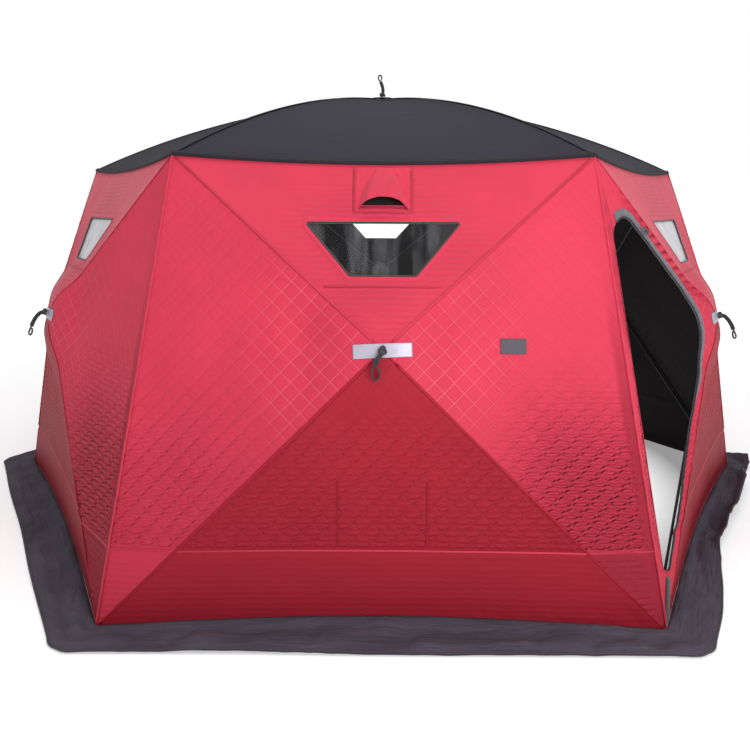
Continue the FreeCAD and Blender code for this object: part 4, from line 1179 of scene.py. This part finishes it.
def vent_hood():
    """A red flap sewn at its top and sides. Its middle buckles out to an arched mouth over a dark vent."""
    wall = walls[0]
    rows, columns = 44, 64
    a, b = np.meshgrid(np.linspace(-1, 1, columns), np.linspace(0, 1, rows))
    a, b = a.ravel(), b.ravel()
    mouth = np.clip(1 - (np.abs(a) / 0.93) ** 2.2, 0, 1) ** 0.8
    length = (HOOD_TOP - HOOD_BOTTOM) - 0.049 * mouth
    v = HOOD_TOP - b * length
    tongue = 0.30 + 0.63 * b                             # half width of the part that stands out
    swell = smooth(1.04, 0.62, np.abs(a) / tongue)
    out = 0.043 * swell * smooth(-0.15, 1.0, b) * (1 - 0.25 * (a / tongue) ** 2 * swell)
    crease = bell(np.abs(a) - tongue * 1.02, 0.07)
    out = out - 0.009 * crease * smooth(0.0, 0.2, b) + 0.0018 * noise(a * 7, b * 5, 61)
    fold = bell(a - 0.62 + 0.5 * b, 0.10) * smooth(0.05, 0.3, b) * smooth(0.9, 0.5, b)
    out = out + 0.011 * fold
    edge = smooth(0, 0.06, 1 - np.abs(a))
    u = a * (HOOD_HALF - 0.003 * swell)
    base = on_wall(wall, u, v, 0.0030)
    points = base + wall.out * np.maximum(out * edge, 0)[:, None]
    hood = make_piece("front_vent_hood", points, grid_faces(rows, columns, flip=True), (SATIN_TOP, LINING),
                      {"cloth": np.column_stack((u, v, np.full(len(u), 0.02)))}, thickness=0.002)
    sew(hood, wall, "top")
    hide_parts("vent_hood")
    u, v = np.meshgrid(np.linspace(-0.088, 0.088, 30), np.linspace(1.530, 1.60, 16))
    u, v = u.ravel(), v.ravel()
    vent = make_piece("front_vent_mesh", on_wall(wall, u, v, 0.0012), grid_faces(16, 30), (LINING,),
                      {"cloth": plain_places(u, v)}, thickness=0.0008)
    sew(vent, wall, "top")
    for label, side in (("left", -HOOD_HALF), ("right", HOOD_HALF)):
        path = [(side, HOOD_TOP), (side, HOOD_BOTTOM)]
        sew(wall_strip(f"front_vent_side_{label}", wall, path, 0.013, 0.0035, SATIN_TOP), wall, "top")


def flat_patch(name, wall, edge, centre, size, tilt, material, grid=(24, 9), span=(-0.5, 0.5)):
    """A rectangle of tape sewn flat on the wall. span is the part of its length that this piece covers."""
    columns, rows = grid
    a, b = np.meshgrid(np.linspace(*span, columns), np.linspace(-0.5, 0.5, rows))
    x, y = a.ravel() * size[0], b.ravel() * size[1]
    u = centre[0] + x * math.cos(tilt) - y * math.sin(tilt)
    v = centre[1] + x * math.sin(tilt) + y * math.cos(tilt)
    buckle = 0.0012 * noise(x / 0.03, y / 0.02, 67 + wall.index)
    points = on_wall(wall, u, v, 0.0014) + wall.out * np.maximum(buckle, -0.0004)[:, None]
    piece = make_piece(name, points, grid_faces(rows, columns), (material,), {"cloth": plain_places(x, y)},
                       thickness=0.0013, offset=1.0)
    sew(piece, wall, edge)


def hub_patches(wall):
    """The reflective patch over a wall's hub, in two halves, one for each side panel."""
    tilt = 0.045 if wall.name == "front" else 0.0
    for edge, span in (("left", (-0.5, 0.0)), ("right", (0.0, 0.5))):
        flat_patch(f"{wall.name}_patch_{edge}", wall, edge, (0, HUB_RISE), (0.200, 0.048), tilt, REFLECTIVE,
                   (22, 13), span)


WINDOW_SEAM = ((-0.205, 1.216), (0.205, 1.216))
POCKET_TOP, POCKET_BOTTOM = 0.540, 0.312


def stitched_lines():
    """Pocket stitching, the seam of the plain band and the seam under each window."""
    ridge_u = BASE_HALF * (1 - BAND_TOP / HUB_RISE)
    seam_u = BASE_HALF - (BASE_HALF - TOP_HALF) * BAND_TOP / SLOPE - 0.004
    ends = {"bottom": (-ridge_u, ridge_u), "left": (-seam_u, -ridge_u), "right": (ridge_u, seam_u)}
    for wall in walls:
        for edge, (start, end) in ends.items():
            if (wall.name, edge) != ("front_right", "left"):
                path = [(start, BAND_TOP), (end, BAND_TOP)]
                name = f"{wall.name}_band_seam_{edge}"
                sew(wall_strip(name, wall, path, 0.006, 0.0010, SATIN_TOP, 0.016), wall, edge)
        name = f"{wall.name}_window_seam"
        sew(wall_strip(name, wall, WINDOW_SEAM, 0.005, 0.0010, SATIN_TOP, 0.014), wall, "top")
    for label, u in (("left", -0.155), ("right", 0.160)):
        path = [(u, POCKET_TOP), (u, POCKET_BOTTOM)]
        name = f"front_pocket_seam_{label}"
        # the satin with painted shade, as on the bottom panel
        sew(wall_strip(name, walls[0], path, 0.004, 0.0012, SATIN_PAINTED_SHADE, 0.010), walls[0], "bottom")


# ---------------------------------------------------------------- doorway: zip, flap and slider


ZIP_MARGINS = (0.014, 0.016, 0.033, 0.0485, 0.0495)  # rows across the tape, in from the panel's edges
ZIP_HEIGHTS = (0.0006, 0.0020, 0.0026, 0.0022, -0.003)
ZIP_COIL_MARGIN = 0.0485


def zip_side(margin):
    """The part of the doorway's outline with the zip: up the lower run, round the hub and up to the top."""
    outline = door_outline(margin)
    ends = len(outline) // 3
    return np.roll(outline, ends - 14, axis=0)[: 2 * ends + 1]


def on_doorway(line, height):
    """World points over the cloth round the doorway, along a line of (u, v)."""
    u, v, n = panel_surface(DOOR_WALL, "left", *line.T, fuss=0.0)
    return DOOR_WALL.point(u, v, n + height)


def zip_run():
    """Zip tape along the doorway's free edges, narrower low down, with its coil on the inner edge."""
    layers, places = [], []
    inner = zip_side(ZIP_MARGINS[-1])
    width = 0.20 + 0.80 * smooth(0.34, 0.56, np.linspace(0, 1, len(inner)))
    for margin, height in zip(ZIP_MARGINS, ZIP_HEIGHTS):
        line = inner + (zip_side(margin) - inner) * width[:, None]
        layers.append(on_doorway(line, height))
        places.append(plain_places(np.full(len(line), margin), run_length(line)))
    tape = make_rows("doorway_zip_tape", layers, places, ZIP_TAPE)
    sew(tape, DOOR_WALL, "left")
    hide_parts("zipper_tape")
    line = on_doorway(resample(zip_side(ZIP_COIL_MARGIN), 0.0028), 0.0030)
    teeth = 1 + 0.28 * np.cos(np.arange(len(line)) * math.pi)
    coil = tube("doorway_zip_coil", line, 0.0030, ZIP_COIL, sides=7, radii=teeth)
    sew(coil, DOOR_WALL, "left")


def doorway_tie():
    """The grey strap sewn from the doorway's lowest point down to the hem's corner."""
    outline = door_outline(DOOR_MARGIN)
    tip = outline[np.argmin(outline[:, 1])]
    path = [tip + (CORNERS["left"][1] - tip) * k for k in (0.12, 0.93)]
    sew(wall_strip("doorway_tie", DOOR_WALL, path, 0.036, 0.0022, BINDING), DOOR_WALL, "left")


def door_flap():
    """The door's own panel, parked inside the shelter on its hinge seam."""
    outline = door_outline(DOOR_MARGIN + DOOR_PLAY, FLAP_SIDES)
    centre = outline.mean(0)
    rings = 46
    shares = np.linspace(0.02, 1, rings)
    flat = np.vstack([centre + (outline - centre) * share for share in shares])
    radial = np.repeat(shares, len(outline))
    u, v = flat.T
    n = BULGE * panel_place("left", u, v)[1] + 0.0018 * quilt_height(u, v) * smooth(1.0, 0.9, radial)
    slack = 0.010 * noise(u / 0.35, v / 0.5, 101) + 0.004 * noise(u / 0.12, v / 0.2, 102)
    n = n + slack * smooth(1.0, 0.7, radial)
    points = DOOR_WALL.point(u, v, n)
    swing = JOINTS["door_swing"]
    pivot = np.array(swing["pos_m"])
    parked = math.radians(-swing["range_deg"][0])
    turn = np.array(Matrix.Rotation(parked, 3, Vector(swing["axis"])))
    points = (points - pivot) @ turn.T + pivot
    faces = grid_faces(rings, len(outline), closed=True, flip=True)
    faces.append(tuple(range(len(outline))))
    piece = make_piece("door_flap_cloth", points, faces, (SATIN_SIDE, LINING),
                       cloth_data(DOOR_WALL, "left", u, v), thickness=WALL_CLOTH)
    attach(piece, "door_flap")
    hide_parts("door_flap")


def prism(outline, thickness):
    """Points and faces of a flat plate with that outline, between z 0 and its thickness."""
    count = len(outline)
    points = [(x, y, 0.0) for x, y in outline] + [(x, y, thickness) for x, y in outline]
    faces = [tuple(range(count))[::-1], tuple(range(count, 2 * count))]
    faces += [(i, (i + 1) % count, count + (i + 1) % count, count + i) for i in range(count)]
    return np.array(points), faces


SLIDER_HALF = [(-0.011, -0.005), (-0.004, -0.0075), (0.007, -0.0085), (0.011, -0.004)]
BRIDGE_HALF = [(-0.007, -0.002), (0.005, -0.002)]
TAB_HALF = [(-0.002, -0.004), (0.030, -0.006)]
TAB_ROUND = 0.006
SLIDER_THICK, BRIDGE_THICK, TAB_THICK = 0.007, 0.004, 0.0016


def mirrored(half, middle=()):
    """A closed outline from its lower half, any points between the halves, and the half's mirror image."""
    return [*half, *middle, *((x, -y) for x, y in reversed(half))]


def zip_slider():
    """The slider's wedge body with its bridge, and a pull tab hanging from it."""
    low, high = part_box("zipper_slider")
    middle = np.array((low + high) / 2)
    run = np.array(JOINTS["zip_run"]["axis"])
    out = unit(DOOR_WALL.out - (DOOR_WALL.out @ run) * run)
    side = np.cross(out, run)
    tip = [(TAB_HALF[-1][0] + TAB_ROUND * math.sin(a), -TAB_ROUND * math.cos(a))
           for a in np.linspace(0, math.pi, 9)[1:-1]]
    body, body_faces = prism(mirrored(SLIDER_HALF), SLIDER_THICK)
    bridge, bridge_faces = prism(mirrored(BRIDGE_HALF), BRIDGE_THICK)
    bridge = bridge + SLIDER_THICK * UP
    plate, plate_faces = prism(mirrored(TAB_HALF, tip), TAB_THICK)
    droop = np.array(Matrix.Rotation(math.radians(14), 3, "Y"))
    plate = plate @ droop.T + (SLIDER_THICK + BRIDGE_THICK + 0.0002) * UP
    points, faces = np.zeros((0, 3)), []
    for part, part_faces in ((body, body_faces), (bridge, bridge_faces), (plate, plate_faces)):
        faces += [tuple(i + len(points) for i in face) for face in part_faces]
        points = np.vstack((points, part))
    doorway_centre = DOOR_WALL.point(*door_outline(DOOR_MARGIN).mean(0), 0.0).ravel()
    to_doorway = DOOR_SIDES[0] * math.copysign(1, float(side @ (doorway_centre - middle)))
    world = points @ np.array((run, side, out)) + middle + 0.002 * out + to_doorway * side
    piece = make_piece("doorway_zip_slider", world, faces, (ZIP_METAL,), smooth_shade=False)
    bevel = piece.modifiers.new("Worn edges", "BEVEL")
    bevel.width, bevel.segments = 0.0006, 2
    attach(piece, "zipper_slider")
    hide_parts("zipper_slider")


# ---------------------------------------------------------------- pull straps


def knot(name, centre, outward, size, material):
    """An overhand knot pulled small: a trefoil of cord, flattened against its hub."""
    t = np.linspace(0, 2 * math.pi, 90, endpoint=False)
    x, y, z = np.sin(t) + 2 * np.sin(2 * t), np.cos(t) - 2 * np.cos(2 * t), -1.2 * np.sin(3 * t)
    local = np.column_stack((x, y, z)) * size / 3.0
    outward = np.asarray(outward, float)
    first = unit(np.cross(outward, (0.2, 0.1, 1.0)))
    basis = np.array((first, np.cross(outward, first), outward))
    return tube(name, local @ basis + centre, size * 0.40, material, sides=9, closed=True)


def pull_strap(body, outward, root, line, loop, side, loop_side):
    """A knot of webbing with a tail and a folded loop at its end, on its hub."""
    tie = knot(f"{body}_knot", root, outward, 0.0125, WEBBING)
    tail = ribbon(f"{body}_strap_tail", curve_through(line, 0.004), side, 0.017, 0.0030, WEBBING)
    end = ribbon(f"{body}_strap_loop", curve_through(loop, 0.003), loop_side, 0.013, 0.0062, WEBBING)
    for piece in (tie, tail, end):
        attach(piece, body)
    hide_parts(body.replace("_hub", "_pull_strap"))


# each strap's places from its knot, then its loop's from the end of the tail: outward, down and across
FRONT_TAIL = ((0.006, 0.000, 0.000), (0.016, 0.010, -0.006), (0.019, 0.032, -0.020), (0.017, 0.048, -0.027))
FRONT_LOOP = ((0.0000, 0.000, 0.000), (0.0008, 0.016, -0.009), (0.0016, 0.036, -0.008),
              (0.0024, 0.050, 0.004), (0.0032, 0.040, 0.017), (0.0040, 0.020, 0.017),
              (0.0048, 0.004, 0.008), (0.0056, -0.004, 0.002))
OTHER_TAIL = ((0.004, 0.000, 0), (0.018, 0.002, 0), (0.036, 0.018, 0), (0.052, 0.042, 0), (0.060, 0.060, 0))
OTHER_LOOP = ((0.000, 0.000, 0.0000), (0.008, 0.014, 0.0006), (0.014, 0.030, 0.0012),
              (0.008, 0.038, 0.0018), (0.000, 0.026, 0.0024), (-0.002, 0.008, 0.0030))


def wall_straps():
    """Each wall's strap leaves the knot outward and droops under its own weight."""
    for wall in walls:
        outward = unit(wall.out * np.array((1, 1, 0)))
        directions = np.array((outward, -UP, wall.across))
        root = wall.hub() + wall.out * 0.026
        if wall.name == "front":
            tail, loop = FRONT_TAIL, FRONT_LOOP
            side, loop_side = wall.across * 0.85 - UP * 0.35, wall.out
        else:
            tail, loop = OTHER_TAIL, OTHER_LOOP
            side, loop_side = outward * 0.75 + UP * 0.65, wall.across
        line = root + np.array(tail) @ directions
        pull_strap(wall.name + "_hub", wall.out, root, line, line[-1] + np.array(loop) @ directions,
                   side, loop_side)


ROOF_TAIL = ((0, 0, 0), (0.003, 0, 0.022), (-0.002, 0.002, 0.046), (-0.010, 0, 0.066))
ROOF_LOOP = ((0, 0, 0), (-0.009, 0, 0.010), (-0.012, 0, 0.022), (-0.003, 0, 0.032), (0.006, 0, 0.022),
             (0.004, 0, 0.006))


def roof_strap():
    """The strap on top stands up from its knot and ends in a small loop."""
    root = APEX + 0.024 * UP
    line = root + np.array(ROOF_TAIL)
    pull_strap("roof_hub", (0, 0, 1.0), root, line, line[-1] + np.array(ROOF_LOOP), (1.0, 0.2, 0.0),
               (0.0, 1.0, 0.0))


# ---------------------------------------------------------------- build, stage, camera and light


WORLD_LIGHT = 0.45                                   # the even light from all round
CAMERA_PLACE = (-0.014, -4.178, 1.482)
CAMERA_LENS = 35.65                                  # mm
CAMERA_TURN, CAMERA_DOWN, CAMERA_ROLL = 0.26, 12.76, 0.25        # degrees


def add_floor():
    """A wide pale floor that the shelter stands on."""
    mesh = bpy.data.meshes.new("studio_floor")
    reach = 60.0
    corners = [(-reach, -reach, 0), (reach, -reach, 0), (reach, reach, 0), (-reach, reach, 0)]
    mesh.from_pydata(corners, [], [(0, 1, 2, 3)])
    mesh.materials.append(floor_material())
    floor = bpy.data.objects.new("studio_floor", mesh)
    bpy.context.scene.collection.objects.link(floor)


def add_light(name, place, aim, size, power):
    """A rectangular softbox at a place, turned towards its aim."""
    data = bpy.data.lights.new(name, "AREA")
    data.shape = "RECTANGLE"
    data.size, data.size_y = size
    data.energy = power
    light = bpy.data.objects.new(name, data)
    light.location = place
    light.rotation_euler = (Vector(aim) - Vector(place)).to_track_quat("-Z", "Y").to_euler()
    bpy.context.scene.collection.objects.link(light)


def add_camera():
    """A camera at a standing person's chest height, in front of the shelter and looking a little down."""
    data = bpy.data.cameras.new("photo_camera")
    data.lens = CAMERA_LENS
    data.sensor_width = 36
    camera = bpy.data.objects.new("photo_camera", data)
    turn = Matrix.Rotation(math.radians(CAMERA_TURN), 4, "Z")
    tilt = Matrix.Rotation(math.radians(90 - CAMERA_DOWN), 4, "X")
    roll = Matrix.Rotation(math.radians(CAMERA_ROLL), 4, "Z")
    camera.matrix_world = Matrix.Translation(CAMERA_PLACE) @ turn @ tilt @ roll
    bpy.context.scene.collection.objects.link(camera)
    bpy.context.scene.camera = camera


def add_world():
    """Even studio light. What the camera sees behind the object is plain white."""
    world = bpy.data.worlds.new("studio")
    world.use_nodes = True
    nodes, links = world.node_tree.nodes, world.node_tree.links
    background = nodes["Background"]
    background.inputs["Color"].default_value = (1, 1, 1, 1)
    seen = nodes.new("ShaderNodeLightPath")
    level = nodes.new("ShaderNodeMapRange")
    level.inputs["To Min"].default_value = WORLD_LIGHT
    level.inputs["To Max"].default_value = 1.0
    links.new(seen.outputs["Is Camera Ray"], level.inputs["Value"])
    links.new(level.outputs["Result"], background.inputs["Strength"])
    bpy.context.scene.world = world


CAD_FINISHES = (("rod", ROD), ("grommet", BRASS), ("bracket", BRACKET_PLASTIC), ("hub", HUB_PLASTIC))


def dress_cad_nodes():
    """Better materials for the CAD nodes that stay, chosen by what they are."""
    for name, node in frame["nodes"].items():
        for key, finish in CAD_FINISHES:
            if key in name:
                node.data.materials.clear()
                node.data.materials.append(finish)
                break


build_walls()
for gore in range(6):
    roof_sector(gore)
build_skirt()
for wall in walls:
    ridge_seams(wall)
    window(wall)
    hub_patches(wall)
corner_seams()
eave_hem()
roof_seams()
vent_hood()
flat_patch("front_hook_tape", walls[0], "right", (0.4615, 1.0155), (0.095, 0.055), 0.01, HOOKS)
stitched_lines()
zip_run()
doorway_tie()
door_flap()
zip_slider()
wall_straps()
roof_strap()
dress_cad_nodes()
add_floor()
add_world()
add_light("front_softbox", (2.0, -5.4, 2.2), (0.1, -1.8, 1.1), (2.4, 1.4), 112)
add_light("overhead_softbox", (0.0, -1.5, 6.0), (0, 0, 1), (6, 6), 150)
add_camera()
bpy.context.scene.view_settings.view_transform = "Standard"
